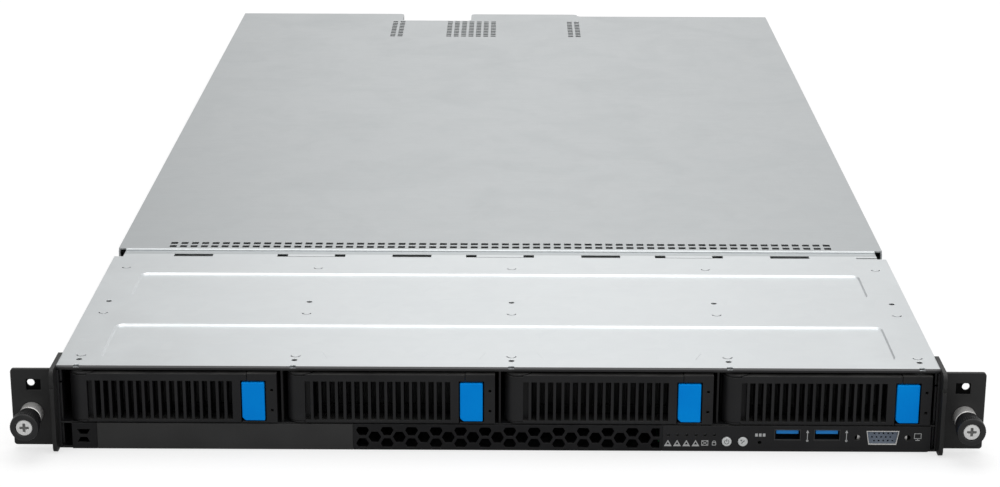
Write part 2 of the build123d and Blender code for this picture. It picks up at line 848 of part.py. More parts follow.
# Drive tray, drawn about the middle of its bay: rails, cross wall, button frame and hinge lugs
with BuildPart() as drive_tray:
    cross_range = (cross_y, cross_y + cross_sheet)
    block((-tray_half, tray_half), cross_range, (tray_bottom, tray_top))
    for side in (-1, 1):
        rail_x = sorted((side * tray_half, side * (tray_half - tray_rail)))
        with BuildSketch(side_plane(rail_x[0])) as rail:
            with BuildLine():
                Polyline(
                    (cross_y, tray_bottom),
                    (cross_y, tray_top),
                    (cross_y + cross_sheet, tray_top),
                    (cross_y + tray_rail_height, tray_bottom + tray_rail_height),
                    (tray_rail_rear_y - tray_rail_height / 2, tray_bottom + tray_rail_height),
                    (tray_rail_rear_y, tray_bottom + tray_rail_height / 2),
                    (tray_rail_rear_y, tray_bottom),
                    close=True,
                )
            make_face()
        extrude(rail.sketch, amount=tray_rail)
    window_pitch = (tray_width - frame_right_strip) / window_count
    with BuildSketch(front_plane(cross_y)):
        with Locations((-frame_right_strip / 2, (tray_bottom + tray_top) / 2)):
            with GridLocations(window_pitch, 1, window_count, 1):
                Rectangle(window_pitch - window_web, tray_height - 2 * window_web)
    extrude(amount=-cross_sheet, mode=Mode.SUBTRACT)
    frame_y = (face_y, cross_y)
    block((lever_bar_right_x + frame_seam, tray_half), frame_y, (bar_bottom, tray_top))
    block((tray_half - frame_right_strip, tray_half), frame_y, (tray_bottom, tray_top))
    block((button_left_x, tray_half), frame_y, (tray_bottom, tray_bottom + frame_bottom_bar))
    with BuildSketch(front_plane(face_y)):
        with Locations([(tray_half - tray_led_inset, z) for z in tray_led_heights]):
            Rectangle(2 * tray_led_radius, 2 * tray_led_radius)
    extrude(amount=-tray_led_depth, mode=Mode.SUBTRACT)
    for lug_z in (tray_bottom, tray_top - lug_sheet):
        with BuildSketch(Plane.XY.offset(lug_z)):
            with Locations((pivot_x, pivot_y)):
                Circle(pivot_radius - lug_gap)
            reach, lug_depth = between(pivot_y, cross_y)
            with Locations((pivot_x, reach)):
                Rectangle(2 * (pivot_radius - lug_gap), lug_depth)
        extrude(amount=lug_sheet)
    with BuildSketch(Plane.XY.offset(tray_bottom)):
        with Locations((pivot_x, pivot_y)):
            Circle(pin_radius)
    extrude(amount=tray_height)


# Release lever, drawn the same way: an upright grille that turns on the pin of the tray
lever_low = tray_bottom + lever_margin
lever_high = tray_top - lever_margin
barrel_low = tray_bottom + lug_sheet + lug_gap
barrel_high = tray_top - lug_sheet - lug_gap
with BuildPart() as release_lever:
    plate_y = (face_y, face_y + lever_depth)
    block((pivot_x, lever_right_x), plate_y, (lever_low, lever_high))
    bar_y = (face_y, face_y + lever_depth - lug_gap)
    block((lever_right_x, lever_bar_right_x), bar_y, (bar_bottom, lever_high))
    with BuildSketch(front_plane(face_y)):
        first = tray_left + grille_first + grille_slot / 2
        last = first + (grille_count - 1) * grille_pitch
        with Locations(((first + last) / 2, grille_bottom + grille_height / 2)):
            with GridLocations(grille_pitch, 1, grille_count, 1):
                Rectangle(grille_slot, grille_height)
    extrude(amount=-lever_depth, mode=Mode.SUBTRACT)
    for low, high in ((lever_low, barrel_low), (barrel_high, lever_high)):
        with BuildSketch(Plane.XY.offset(low)):
            with Locations((pivot_x, pivot_y)):
                Circle(pivot_radius + lug_gap)
            reach, keep_clear = between(pivot_y, cross_y)
            with Locations((pivot_x, reach)):
                Rectangle(2 * (pivot_radius + lug_gap), keep_clear)
        extrude(amount=high - low, mode=Mode.SUBTRACT)
    with BuildSketch(Plane.XY.offset(barrel_low)):
        with Locations((pivot_x, pivot_y)):
            Circle(pivot_radius)
        behind_face = face_y + barrel_front_cut / 2
        front_cut = 2 * (2 * pivot_radius - grille_first)
        with Locations((pivot_x + pivot_radius, behind_face)):
            Rectangle(front_cut, barrel_front_cut, mode=Mode.SUBTRACT)
        with Locations((pivot_x, pivot_y)):
            Circle(pin_radius + running_gap, mode=Mode.SUBTRACT)
    extrude(amount=barrel_high - barrel_low)
    with BuildSketch(Plane.XY.offset(lever_low)):
        with Locations((pivot_x, pivot_y)):
            Circle(pin_radius + running_gap)
    extrude(amount=lever_high - lever_low, mode=Mode.SUBTRACT)


# Release button of a tray, with one cut corner
with BuildPart() as release_button:
    with BuildSketch(front_plane(face_y - button_front)):
        with BuildLine():
            Polyline(
                (button_left_x, button_bottom + button_chamfer),
                (button_left_x, button_top),
                (button_right_x, button_top),
                (button_right_x, button_bottom),
                (button_left_x + button_chamfer, button_bottom),
                close=True,
            )
        make_face()
    extrude(amount=-button_depth)


# Hard drive: a cast base with a raised lid and a connector opening at the back
with BuildPart() as hard_drive:
    with BuildSketch(Plane.XY.offset(drive_bottom)):
        with Locations((0, drive_front_y + drive_length / 2)):
            Rectangle(drive_width, drive_length)
    extrude(amount=drive_height - drive_lid / 3)
    with BuildSketch(Plane.XY.offset(drive_bottom)):
        with Locations((0, drive_front_y + drive_length / 2)):
            RectangleRounded(drive_width - 2 * drive_lid, drive_length - 2 * drive_lid, drive_corner)
    extrude(amount=drive_height)
    plug_x = (-drive_plug_width / 2, drive_plug_width / 2)
    plug_y = (drive_front_y + drive_length - drive_plug_depth, drive_front_y + drive_length)
    plug_z = (drive_bottom, drive_bottom + drive_plug_height)
    block(plug_x, plug_y, plug_z, mode=Mode.SUBTRACT)

for number, bay_x in enumerate(bay_centres, 1):
    here = Location((bay_x, 0, 0))
    save(drive_tray.part.moved(here), f"drive_tray_{number}")
    save(release_lever.part.moved(here), f"release_lever_{number}")
    save(release_button.part.moved(here), f"release_button_{number}")
    save(hard_drive.part.moved(here), f"hard_drive_{number}")


# Backplane with air openings, and the drive connectors on its front
with BuildPart() as backplane:
    backplane_x = inner_half - cage_sheet - 2 * lug_gap
    backplane_range = (backplane_y, backplane_y + board_sheet)
    block((-backplane_x, backplane_x), backplane_range, (shelf_top, backplane_top))
    with BuildSketch(front_plane(backplane_y)):
        vent_z = backplane_top - backplane_vent_height
        for bay_x in bay_centres:
            with Locations((bay_x, vent_z)):
                with GridLocations(backplane_vent_width + window_web, 1, 2, 1):
                    Rectangle(backplane_vent_width, backplane_vent_height)
    extrude(amount=-board_sheet, mode=Mode.SUBTRACT)
save(backplane.part, "backplane")

drive_rear_y = drive_front_y + drive_length
with BuildPart() as drive_connectors:
    for bay_x in bay_centres:
        connector_x = (bay_x - drive_plug_width / 2, bay_x + drive_plug_width / 2)
        connector_z = (drive_bottom + connector_gap, drive_bottom + drive_plug_height)
        block(connector_x, (drive_rear_y + connector_gap, backplane_y), connector_z)
save(drive_connectors.part, "drive_connectors")


# Lower strip: blank panel, honeycomb panel and socket panel
def strip_face(left, right):
    """Front outline of one piece of the strip, less the seam at its sides."""
    middle, width = between(left, right)
    with Locations((middle, strip_middle_z)):
        Rectangle(width - strip_seam, strip_height)


with BuildPart() as blank_panel:
    with BuildSketch(front_plane(strip_back_y)):
        strip_face(blank_left, blank_right)
    extrude(amount=strip_sheet)
save(blank_panel.part, "blank_panel")

with BuildSketch(front_plane(strip_back_y)) as honeycomb:
    column_pitch = hex_pitch * sqrt(3) / 2
    first_column = int((blank_right - hex_first_x) / column_pitch)
    last_column = int((mesh_right - hex_first_x) / column_pitch)
    pair = (hex_z - hex_pitch / 2, hex_z + hex_pitch / 2)
    cells = [(corner_window_x, z) for z in pair]
    for i in range(first_column, last_column + 1):
        cells += [(hex_first_x + i * column_pitch, z) for z in (pair if i % 2 else (hex_z,))]
    with Locations(cells):
        RegularPolygon((hex_pitch - hex_web) / 2, 6, major_radius=False)
    with BuildSketch(front_plane(strip_back_y), mode=Mode.INTERSECT):
        middle, width = between(blank_right, mesh_right)
        with Locations((middle, strip_middle_z)):
            Rectangle(width - 2 * mesh_margin, strip_height - 2 * mesh_margin)
        with Locations((corner_window_x, hex_z)):
            Rectangle(hex_pitch, hex_pitch)
large_cells = [cell for cell in honeycomb.sketch.faces() if cell.area > smallest_hole]

with BuildPart() as mesh_panel:
    with BuildSketch(front_plane(strip_back_y)):
        strip_face(corner_piece_left, blank_left)
        strip_face(blank_right, mesh_right)
    extrude(amount=strip_sheet)
    extrude(large_cells, amount=strip_sheet, mode=Mode.SUBTRACT)
save(mesh_panel.part, "mesh_panel")

press_places = ((power_x, press_z), (locate_x, press_z))
light_places = [(light_first_x + i * light_pitch, light_z) for i in range(light_count)]


def vga_outline(grow):
    """Outline of the video socket shell, wider at the top than at the bottom."""
    top, bottom = vga_width / 2 + grow, vga_width / 2 - vga_slant + grow
    half_height = vga_height / 2 + grow
    with BuildLine() as line:
        Polyline(
            (-bottom, -half_height),
            (bottom, -half_height),
            (top, half_height),
            (-top, half_height),
            close=True,
        )
    face = make_face(line.edges(), mode=Mode.PRIVATE)
    return face


with BuildPart() as front_io_panel:
    with BuildSketch(front_plane(strip_back_y)) as face:
        strip_face(mesh_right, panel_right)
        lower_right = face.vertices().group_by(Axis.X)[-1].sort_by(Axis.Z)[0]
        fillet(lower_right, radius=panel_corner)
        with Locations(light_places):
            small_round(light_radius + light_gap, mode=Mode.SUBTRACT)
        with Locations(press_places):
            Circle(press_radius + press_gap, mode=Mode.SUBTRACT)
        with Locations((reset_x, reset_z)):
            small_round(reset_radius, mode=Mode.SUBTRACT)
        with Locations([(x, usb_z) for x in usb_positions]):
            Rectangle(usb_width + 2 * panel_gap, usb_height + 2 * panel_gap, mode=Mode.SUBTRACT)
        with Locations([(vga_x + s * vga_screw_spacing / 2, vga_z) for s in (-1, 1)]):
            Circle(vga_screw_radius, mode=Mode.SUBTRACT)
        with Locations((vga_x, vga_z)):
            add(vga_outline(panel_gap), mode=Mode.SUBTRACT)
    extrude(amount=strip_sheet)
save(front_io_panel.part, "front_io_panel")


# Front sockets: two shells with their blue tongues, and the video socket with its insert
io_board_top = vga_z - vga_height / 2
io_board_bottom = io_board_top - board_sheet
usb_low = usb_z - usb_height / 2
with BuildPart() as usb_sockets:
    for x in usb_positions:
        shell_x = (x - usb_width / 2, x + usb_width / 2)
        block(shell_x, (face_y, face_y + usb_depth), (usb_low, usb_low + usb_height))
        hollow_x = (shell_x[0] + usb_wall, shell_x[1] - usb_wall)
        hollow_y = (face_y, face_y + usb_depth - usb_wall)
        hollow_z = (usb_low + usb_wall, usb_low + usb_height - usb_wall)
        block(hollow_x, hollow_y, hollow_z, mode=Mode.SUBTRACT)
        foot_y = (face_y + usb_depth - usb_foot, face_y + usb_depth)
        block(shell_x, foot_y, (io_board_top, usb_low + usb_wall))
save(usb_sockets.part, "usb_sockets")

with BuildPart() as usb_tongues:
    for x in usb_positions:
        side = usb_width / 2 - usb_wall - usb_tongue_side
        tongue_y = (face_y + usb_tongue_inset, face_y + usb_depth - usb_wall)
        tongue_top = usb_low + usb_height - usb_wall - usb_tongue_drop
        block((x - side, x + side), tongue_y, (tongue_top - usb_tongue_height, tongue_top))
save(usb_tongues.part, "usb_tongues")

with BuildPart() as vga_shell:
    with BuildSketch(front_plane(face_y)):
        with Locations((vga_x, vga_z)):
            add(vga_outline(0))
            add(vga_outline(-vga_wall), mode=Mode.SUBTRACT)
    extrude(amount=-vga_depth)
    flange_x = (vga_x - vga_screw_spacing / 2, vga_x + vga_screw_spacing / 2)
    flange_z = (io_board_top, vga_z + vga_height / 2)
    flange_y = (strip_back_y + panel_gap, strip_back_y + panel_gap + vga_flange)
    block(flange_x, flange_y, flange_z)
    with BuildSketch(front_plane(flange_y[0])):
        with Locations((vga_x, vga_z)):
            add(vga_outline(-vga_wall))
    extrude(amount=-vga_flange, mode=Mode.SUBTRACT)
save(vga_shell.part, "vga_shell")

with BuildPart() as vga_insert:
    with BuildSketch(front_plane(face_y + usb_tongue_inset)):
        with Locations((vga_x, vga_z)):
            add(vga_outline(-vga_wall))
        for row in (-1, 0, 1):
            shift = vga_pin_pitch / 4 if row else -vga_pin_pitch / 4
            row_z = vga_z + row * vga_row_pitch
            with Locations([(vga_x + i * vga_pin_pitch + shift, row_z) for i in range(-2, 3)]):
                Rectangle(2 * vga_pin_radius, 2 * vga_pin_radius, mode=Mode.SUBTRACT)
    extrude(amount=-(vga_depth - usb_tongue_inset))
save(vga_insert.part, "vga_insert")

light_bend_y = face_y + light_length
with BuildPart() as status_light_guides:
    for x, z in light_places:
        with BuildSketch(front_plane(light_bend_y)):
            with Locations((x, z)):
                RegularPolygon(light_radius, small_round_sides)
        extrude(amount=light_length - light_inset)
        leg_x = (x - light_radius, x + light_radius)
        block(leg_x, (light_bend_y - 2 * light_radius, light_bend_y), (io_board_top, z + light_radius))
save(status_light_guides.part, "status_light_guides")

with BuildPart() as front_io_board:
    board_x = (light_first_x - light_pitch, panel_right - side_flange)
    board_y = (io_board_front_y, io_board_front_y + io_board_depth)
    block(board_x, board_y, (io_board_bottom, io_board_top))
    for x in (power_x, locate_x):
        switch_x = (x - press_radius, x + press_radius)
        switch_y = (io_board_front_y, io_board_front_y + usb_foot)
        block(switch_x, switch_y, (io_board_top, press_z + press_radius))
    foot_x = (board_x[0] + usb_foot, board_x[1] - usb_foot)
    foot_y = (board_y[0] + 2 * usb_foot, board_y[1] - usb_foot)
    with BuildSketch(Plane.XY.offset(chassis_sheet)):
        with Locations([(x, y) for x in foot_x for y in foot_y]):
            RegularPolygon(standoff_radius, 6)
    extrude(amount=io_board_bottom - chassis_sheet)
save(front_io_board.part, "front_io_board")


def make_press_button(x, name):
    """A round button that stands just proud of the socket panel, kept in by its collar."""
    collar_y = strip_back_y + panel_gap
    with BuildPart() as button:
        with BuildSketch(front_plane(collar_y)) as cap:
            with Locations((x, press_z)):
                Circle(press_radius)
        extrude(cap.sketch, amount=strip_sheet + panel_gap + press_proud)
        with BuildSketch(front_plane(collar_y)) as collar:
            with Locations((x, press_z)):
                Circle(press_radius + press_collar_width)
        extrude(collar.sketch, amount=-press_collar)
    save(button.part, name)


make_press_button(power_x, "power_button")
make_press_button(locate_x, "locate_button")


# Fans: square housings with the motor on spokes, and bladed rotors that turn on its shaft
fan_centres = [fan_pitch * (i - (fan_count - 1) / 2) for i in range(fan_count)]
fan_z = chassis_sheet + fan_size / 2
fan_places = [(x, fan_z) for x in fan_centres]
motor_front_y = fan_front_y + fan_depth - fan_motor_depth
with BuildPart() as fan_housings:
    with BuildSketch(front_plane(fan_front_y)):
        with Locations(fan_places):
            Rectangle(fan_size, fan_size)
            Circle(fan_bore, mode=Mode.SUBTRACT)
    extrude(amount=-fan_depth)
    with BuildSketch(front_plane(motor_front_y)):
        with Locations(fan_places):
            Rectangle(2 * fan_bore + fan_spoke / 2, fan_spoke)
            Rectangle(fan_spoke, 2 * fan_bore + fan_spoke / 2)
            RegularPolygon(fan_hub_radius, 2 * small_round_sides)
    extrude(amount=-fan_motor_depth / 2)
    with BuildSketch(front_plane(motor_front_y)):
        with Locations(fan_places):
            Circle(fan_shaft_radius)
    extrude(amount=rotor_gap + rotor_length - fan_shaft_inset)
save(fan_housings.part, "fan_housings")

# One rotor on the Y axis: a hub with flat blades set at a slant, closed in front of the shaft
blade_half_width = (blade_chord * sin(radians(blade_tilt)) + blade_thickness * cos(radians(blade_tilt))) / 2
blade_reach = sqrt((fan_bore - blade_tip_gap) ** 2 - blade_half_width**2)
rotor_rear_y = motor_front_y - rotor_gap
rotor_middle_y = rotor_rear_y - rotor_length / 2
with BuildPart() as fan_rotor:
    with BuildSketch(front_plane(rotor_rear_y)):
        Circle(fan_hub_radius)
    extrude(amount=rotor_length)
    for i in range(blade_count):
        blade_plane = Plane((0, rotor_middle_y, 0)).rotated((0, i * 360 / blade_count, 0))
        with BuildSketch(blade_plane):
            Rectangle(blade_thickness, blade_chord, rotation=blade_tilt)
        extrude(amount=blade_reach)
    with BuildSketch(front_plane(rotor_rear_y)):
        Circle(fan_shaft_radius + running_gap)
    extrude(amount=rotor_length - fan_shaft_inset + rotor_gap, mode=Mode.SUBTRACT)
for number, x in enumerate(fan_centres, 1):
    save(fan_rotor.part.moved(Location((x, 0, fan_z))), f"fan_rotor_{number}")


# Main board with processor sockets, memory slots and standoffs
board_rear_y = rear_ports_y - rear_inset - chassis_sheet - rear_panel_gap
board_left_x = psu_wall_x + cage_sheet / 2 + board_margin
board_right_x = inner_half - board_margin
module_places = []
for x, y in socket_positions:
    for side in (-1, 1):
        for i in range(modules_per_side):
            module_places.append((x + side * (module_first + i * module_pitch), y))
with BuildPart() as main_board:
    with BuildSketch(Plane.XY.offset(board_bottom)):
        with BuildLine():
            Polyline(
                (board_left_front_x, board_front_y),
                (board_left_front_x, psu_wall_front_y - board_margin),
                (board_left_x, psu_wall_front_y - board_margin),
                (board_left_x, board_rear_y),
                (board_right_x, board_rear_y),
                (board_right_x, board_front_y),
                close=True,
            )
        make_face()
    extrude(amount=board_sheet)
    with BuildSketch(Plane.XY.offset(board_top)):
        with Locations(socket_positions):
            Rectangle(*socket_size)
    extrude(amount=socket_height)
    with BuildSketch(Plane.XY.offset(board_top)):
        with Locations(module_places):
            Rectangle(slot_strip[1], slot_strip[0])
    extrude(amount=slot_strip[2])
    with BuildSketch(Plane.XY.offset(board_top + module_seat)):
        with Locations(module_places):
            Rectangle(module_thickness, module_length)
    extrude(amount=slot_strip[2], mode=Mode.SUBTRACT)
    standoff_x = (board_left_x + 2 * board_margin, board_right_x - 2 * board_margin)
    standoff_y = (board_front_y + 2 * board_margin, board_rear_y - 6 * board_margin)
    with BuildSketch(Plane.XY.offset(chassis_sheet)):
        with Locations([(x, y) for x in standoff_x for y in standoff_y]):
            RegularPolygon(standoff_radius, 6)
    extrude(amount=board_bottom - chassis_sheet)
save(main_board.part, "main_board")

with BuildPart() as cpu_heatsinks:
    heatsink_bottom = board_top + socket_height
    with BuildSketch(Plane.XY.offset(heatsink_bottom)):
        with Locations(socket_positions):
            Rectangle(*heatsink_size)
    extrude(amount=heatsink_base)
    with BuildSketch(Plane.XY.offset(heatsink_bottom + heatsink_base)):
        sink_pitch = (heatsink_size[0] - heatsink_fin) / (fin_count - 1)
        with Locations(socket_positions):
            with GridLocations(sink_pitch, 1, fin_count, 1):
                Rectangle(heatsink_fin, heatsink_size[1])
    extrude(amount=heatsink_top - heatsink_bottom - heatsink_base)
save(cpu_heatsinks.part, "cpu_heatsinks")

with BuildPart() as memory_modules:
    with BuildSketch(Plane.XY.offset(board_top + module_seat)):
        with Locations(module_places):
            Rectangle(module_thickness, module_length)
    extrude(amount=module_top - board_top - module_seat)
save(memory_modules.part, "memory_modules")

with BuildPart() as air_duct:
    duct_sides = (duct_half_width - duct_sheet, duct_half_width)
    duct_y = (duct_front_y, duct_rear_y)
    block((-duct_half_width, duct_half_width), duct_y, (duct_top - duct_sheet, duct_top))
    for side in (-1, 1):
        block(sorted((side * duct_sides[0], side * duct_sides[1])), duct_y, (board_top, duct_top))
save(air_duct.part, "air_duct")


# Power supply bay: a divider between the two supplies and a wall beside them
with BuildPart() as psu_bay:
    psu_bay_y = (psu_wall_front_y, psu_rear_y - chassis_sheet)
    for x in (psu_divider_x, psu_wall_x):
        wall_x = (x - cage_sheet / 2, x + cage_sheet / 2)
        block(wall_x, psu_bay_y, (chassis_sheet, psu_wall_top))
save(psu_bay.part, "psu_bay")

# One power supply about the middle of its bay: housing, inlet, fan grille and fixed handle
psu_top = psu_bottom + psu_height
psu_middle_z = psu_bottom + psu_height / 2
with BuildPart() as psu:
    block((-psu_width / 2, psu_width / 2), (psu_front_y, psu_rear_y), (psu_bottom, psu_top))
    inlet_z = psu_bottom + psu_inlet_z
    with BuildSketch(front_plane(psu_rear_y)):
        with Locations((psu_inlet_x, inlet_z)):
            Rectangle(*psu_inlet)
    extrude(amount=psu_inlet_depth, mode=Mode.SUBTRACT)
    with BuildSketch(front_plane(psu_rear_y - psu_inlet_depth)):
        with Locations([(psu_inlet_x + i * inlet_pin_spread, inlet_z) for i in (-1, 0, 1)]):
            Rectangle(inlet_pin[0], inlet_pin[2])
    extrude(amount=-inlet_pin[1])
    with BuildSketch(front_plane(psu_rear_y)):
        with Locations((psu_fan_x, psu_middle_z)):
            Circle(psu_fan_radius)
            Circle(psu_fan_hub, mode=Mode.SUBTRACT)
            for turn in psu_grille_turns:
                Rectangle(2 * psu_fan_radius, psu_grille_bar, rotation=turn, mode=Mode.SUBTRACT)
    extrude(amount=psu_fan_depth, mode=Mode.SUBTRACT)
    latch_space_left = psu_width / 2 - latch_inset - latch_width - latch_gap - latch_travel
    latch_space_x = (latch_space_left, psu_width / 2)
    latch_low = psu_bottom + latch_z - latch_gap
    latch_space_z = (latch_low, latch_low + latch_height + 2 * latch_gap)
    block(latch_space_x, (psu_rear_y - latch_pocket, psu_rear_y), latch_space_z, mode=Mode.SUBTRACT)
    handle_y = (psu_rear_y, psu_rear_y + handle_rise)
    handle_z = (psu_bottom + handle_bottom, psu_bottom + handle_bottom + handle_height)
    block((handle_x - handle_bar / 2, handle_x + handle_bar / 2), handle_y, handle_z)
    grip_y = (psu_rear_y, psu_rear_y + handle_rise - handle_bar)
    grip_z = (handle_z[0] + handle_bar, handle_z[1] - handle_bar)
    block((handle_x - handle_bar, handle_x + handle_bar), grip_y, grip_z, mode=Mode.SUBTRACT)

with BuildPart() as psu_latch:
    latch_right = psu_width / 2 - latch_inset
    latch_x = (latch_right - latch_width, latch_right)
    latch_range = (psu_bottom + latch_z, psu_bottom + latch_z + latch_height)
    block(latch_x, (psu_rear_y - latch_pocket + latch_gap, psu_rear_y + latch_reach), latch_range)

for number, x in enumerate((psu_1_x, psu_2_x), 1):
    here = Location((x, 0, 0))
    save(psu.part.moved(here), f"power_supply_{number}")
    save(psu_latch.part.moved(here), f"psu_latch_{number}")


# Rear sockets on the main board
with BuildPart() as rear_ports:
    for centre, (port_width, port_height) in zip(port_centres, port_sizes):
        port_x = (centre - port_width / 2, centre + port_width / 2)
        port_y = (rear_ports_y - port_depth, rear_ports_y - rear_inset / 2)
        block(port_x, port_y, (board_top, board_top + port_height))
        hole_x = (port_x[0] + port_wall, port_x[1] - port_wall)
        hole_y = (port_y[1] - port_hole_depth, port_y[1])
        hole_z = (board_top + port_wall, board_top + port_height - port_wall)
        block(hole_x, hole_y, hole_z, mode=Mode.SUBTRACT)
save(rear_ports.part, "rear_ports")


# Screws that hold the front cover to the side walls
with BuildPart() as cover_screws:
    for side in (-1, 1):
        head_plane = side_plane(side * half_width)
        with BuildSketch(head_plane):
            with Locations([(y, cover_screw_z) for y in cover_screw_y]):
                RegularPolygon(cover_screw_head, 2 * small_round_sides)
        extrude(amount=side * cover_screw_head_height)
        with BuildSketch(head_plane):
            with Locations([(y, cover_screw_z) for y in cover_screw_y]):
                RegularPolygon(cover_screw_radius, small_round_sides)
        shank = chassis_sheet + side_flange_gap + cover_sheet + cover_screw_reach
        extrude(amount=-side * shank)
save(cover_screws.part, "cover_screws")
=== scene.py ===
import math

import bmesh
import bpy
import numpy as np
from mathutils import Matrix, Vector


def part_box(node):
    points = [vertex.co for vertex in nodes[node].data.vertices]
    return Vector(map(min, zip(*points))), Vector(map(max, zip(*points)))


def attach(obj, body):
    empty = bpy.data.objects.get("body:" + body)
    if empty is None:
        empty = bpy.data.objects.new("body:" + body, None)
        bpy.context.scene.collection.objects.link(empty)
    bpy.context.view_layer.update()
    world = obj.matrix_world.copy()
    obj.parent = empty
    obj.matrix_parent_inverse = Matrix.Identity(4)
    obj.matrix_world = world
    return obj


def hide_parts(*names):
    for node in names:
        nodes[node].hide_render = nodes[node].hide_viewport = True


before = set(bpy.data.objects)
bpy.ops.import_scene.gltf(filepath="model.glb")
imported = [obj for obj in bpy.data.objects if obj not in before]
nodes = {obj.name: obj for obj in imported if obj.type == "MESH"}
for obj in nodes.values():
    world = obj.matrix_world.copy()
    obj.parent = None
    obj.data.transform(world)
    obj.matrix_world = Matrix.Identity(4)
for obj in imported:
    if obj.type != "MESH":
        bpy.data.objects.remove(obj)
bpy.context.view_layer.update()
scene = bpy.context.scene
mm = 0.001
print("frame:", len(nodes), "nodes")


# Helpers for meshes

weldDistance = 1e-7


def boxOf(node):  # lowest and highest corner of a CAD node, as arrays in metres
    low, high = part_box(node)
    return np.array(low), np.array(high)


def roundSize(node):  # centre (x, z), radius, front and rear of a CAD node that is round about a line along Y
    low, high = boxOf(node)
    return ((low[0] + high[0]) / 2, (low[2] + high[2]) / 2), (high[0] - low[0]) / 2, low[1], high[1]


def newPiece(name, points, faces, body, smooth=True):  # a closed mesh that rides on a body
    mesh = bpy.data.meshes.new(name)
    mesh.from_pydata(np.asarray(points, float).tolist(), [], faces)
    work = bmesh.new()
    work.from_mesh(mesh)
    bmesh.ops.remove_doubles(work, verts=work.verts, dist=weldDistance)
    bmesh.ops.recalc_face_normals(work, faces=work.faces)
    work.to_mesh(mesh)
    work.free()
    mesh.polygons.foreach_set("use_smooth", [smooth] * len(mesh.polygons))
    piece = bpy.data.objects.new(name, mesh)
    scene.collection.objects.link(piece)
    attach(piece, body)
    return piece


def creaseAt(piece, degrees):  # faces meet sharply where they turn by more than this
    piece.data.set_sharp_from_angle(angle=math.radians(degrees))


def gridFaces(rows, columns, closedRows=False):  # quads of a grid of points, closed round its columns
    row = np.arange(rows if closedRows else rows - 1)[:, None]
    column = np.arange(columns)[None, :]
    below, after = (row + 1) % rows, (column + 1) % columns
    corners = ((row, column), (row, after), (below, after), (below, column))
    quads = [r * columns + c for r, c in corners]
    return np.stack(np.broadcast_arrays(*quads), axis=-1).reshape(-1, 4).tolist()


def turnedPoints(profile, steps, centre, shape):
    # A profile of (radius, y) turned about a line along Y: x = r sin a, z = r cos a.
    # shape changes the radii and the places along the line by radius, y and angle.
    profile = np.asarray(profile, float)
    angle = np.linspace(0, 2 * math.pi, steps, endpoint=False)[None, :]
    radius = np.repeat(profile[:, :1], steps, axis=1)
    along = np.repeat(profile[:, 1:2], steps, axis=1)
    radius, along = shape(radius, along, angle)
    points = np.stack([radius * np.sin(angle), along, radius * np.cos(angle)], axis=-1)
    return points.reshape(-1, 3) + np.array([centre[0], 0, centre[1]])


def smoothStep(x):  # 0 below 0, 1 above 1, and an even curve between them
    x = np.clip(x, 0, 1)
    return x * x * (3 - 2 * x)


# Helpers for materials

finishes = {}


def rgba(colour):
    return (*colour, 1)


def feed(tree, node, sockets):  # each input gets a link or a value, whichever it is given
    for key, value in sockets.items():
        if isinstance(value, bpy.types.NodeSocket):
            tree.links.new(value, node.inputs[key])
        else:
            node.inputs[key].default_value = value


def addNode(tree, kind, sockets=None, **settings):
    node = tree.nodes.new(kind)
    for key, value in settings.items():
        setattr(node, key, value)
    feed(tree, node, sockets or {})
    return node


def mathNode(tree, operation, first, second=0.0):
    return addNode(tree, "ShaderNodeMath", {0: first, 1: second}, operation=operation).outputs[0]


def mapRange(tree, value, low, high, toLow=0.0, toHigh=1.0, **settings):
    sockets = {"Value": value, "From Min": low, "From Max": high, "To Min": toLow, "To Max": toHigh}
    return addNode(tree, "ShaderNodeMapRange", sockets, **settings).outputs["Result"]


def mixColour(tree, factor, first, second):
    sockets = {0: factor, 6: first, 7: second}
    return addNode(tree, "ShaderNodeMix", sockets, data_type="RGBA").outputs[2]


def bump(tree, height, distance, strength, normal=None):
    sockets = {"Height": height, "Distance": distance, "Strength": strength}
    if normal is not None:
        sockets["Normal"] = normal
    return addNode(tree, "ShaderNodeBump", sockets).outputs["Normal"]


def objectPlace(tree):  # a piece's own coordinates, which are the world's while it is at rest
    return addNode(tree, "ShaderNodeTexCoord").outputs["Object"]


def partsOf(tree, vector):
    return addNode(tree, "ShaderNodeSeparateXYZ", {"Vector": vector}).outputs


def flatNormal(tree):
    return addNode(tree, "ShaderNodeNewGeometry").outputs["Normal"]


def noise(tree, sockets):
    return addNode(tree, "ShaderNodeTexNoise", sockets).outputs["Fac"]


def newGroup(name, inputs, outputs):  # an empty shader group with its named sockets
    group = bpy.data.node_groups.new(name, "ShaderNodeTree")
    for label, value in inputs.items():
        socket = group.interface.new_socket(label, in_out="INPUT", socket_type="NodeSocketFloat")
        socket.default_value = value
    for label, kind in outputs.items():
        group.interface.new_socket(label, in_out="OUTPUT", socket_type=f"NodeSocket{kind}")
    return group, group.nodes.new("NodeGroupInput").outputs, group.nodes.new("NodeGroupOutput")


def useGroup(tree, group, sockets=None):
    return addNode(tree, "ShaderNodeGroup", sockets, node_tree=group).outputs


def newMaterial(name):  # kept by its name in finishes
    material = bpy.data.materials.new(name)
    material.use_nodes = True
    finishes[name] = material
    return material.node_tree, material.node_tree.nodes["Principled BSDF"]


# Rolled zinc sheet: Cloud is slow unevenness, Spangle the crystal fields, Grain the rolling marks

sheetEffect = dict(
    spangleScale=150.0,
    cloud={"Scale": 5.0, "Detail": 4.0, "Roughness": 0.55},
    drawn=(25.0, 1500.0, 1500.0),
    grain={"Scale": 1.0, "Detail": 3.0},
)


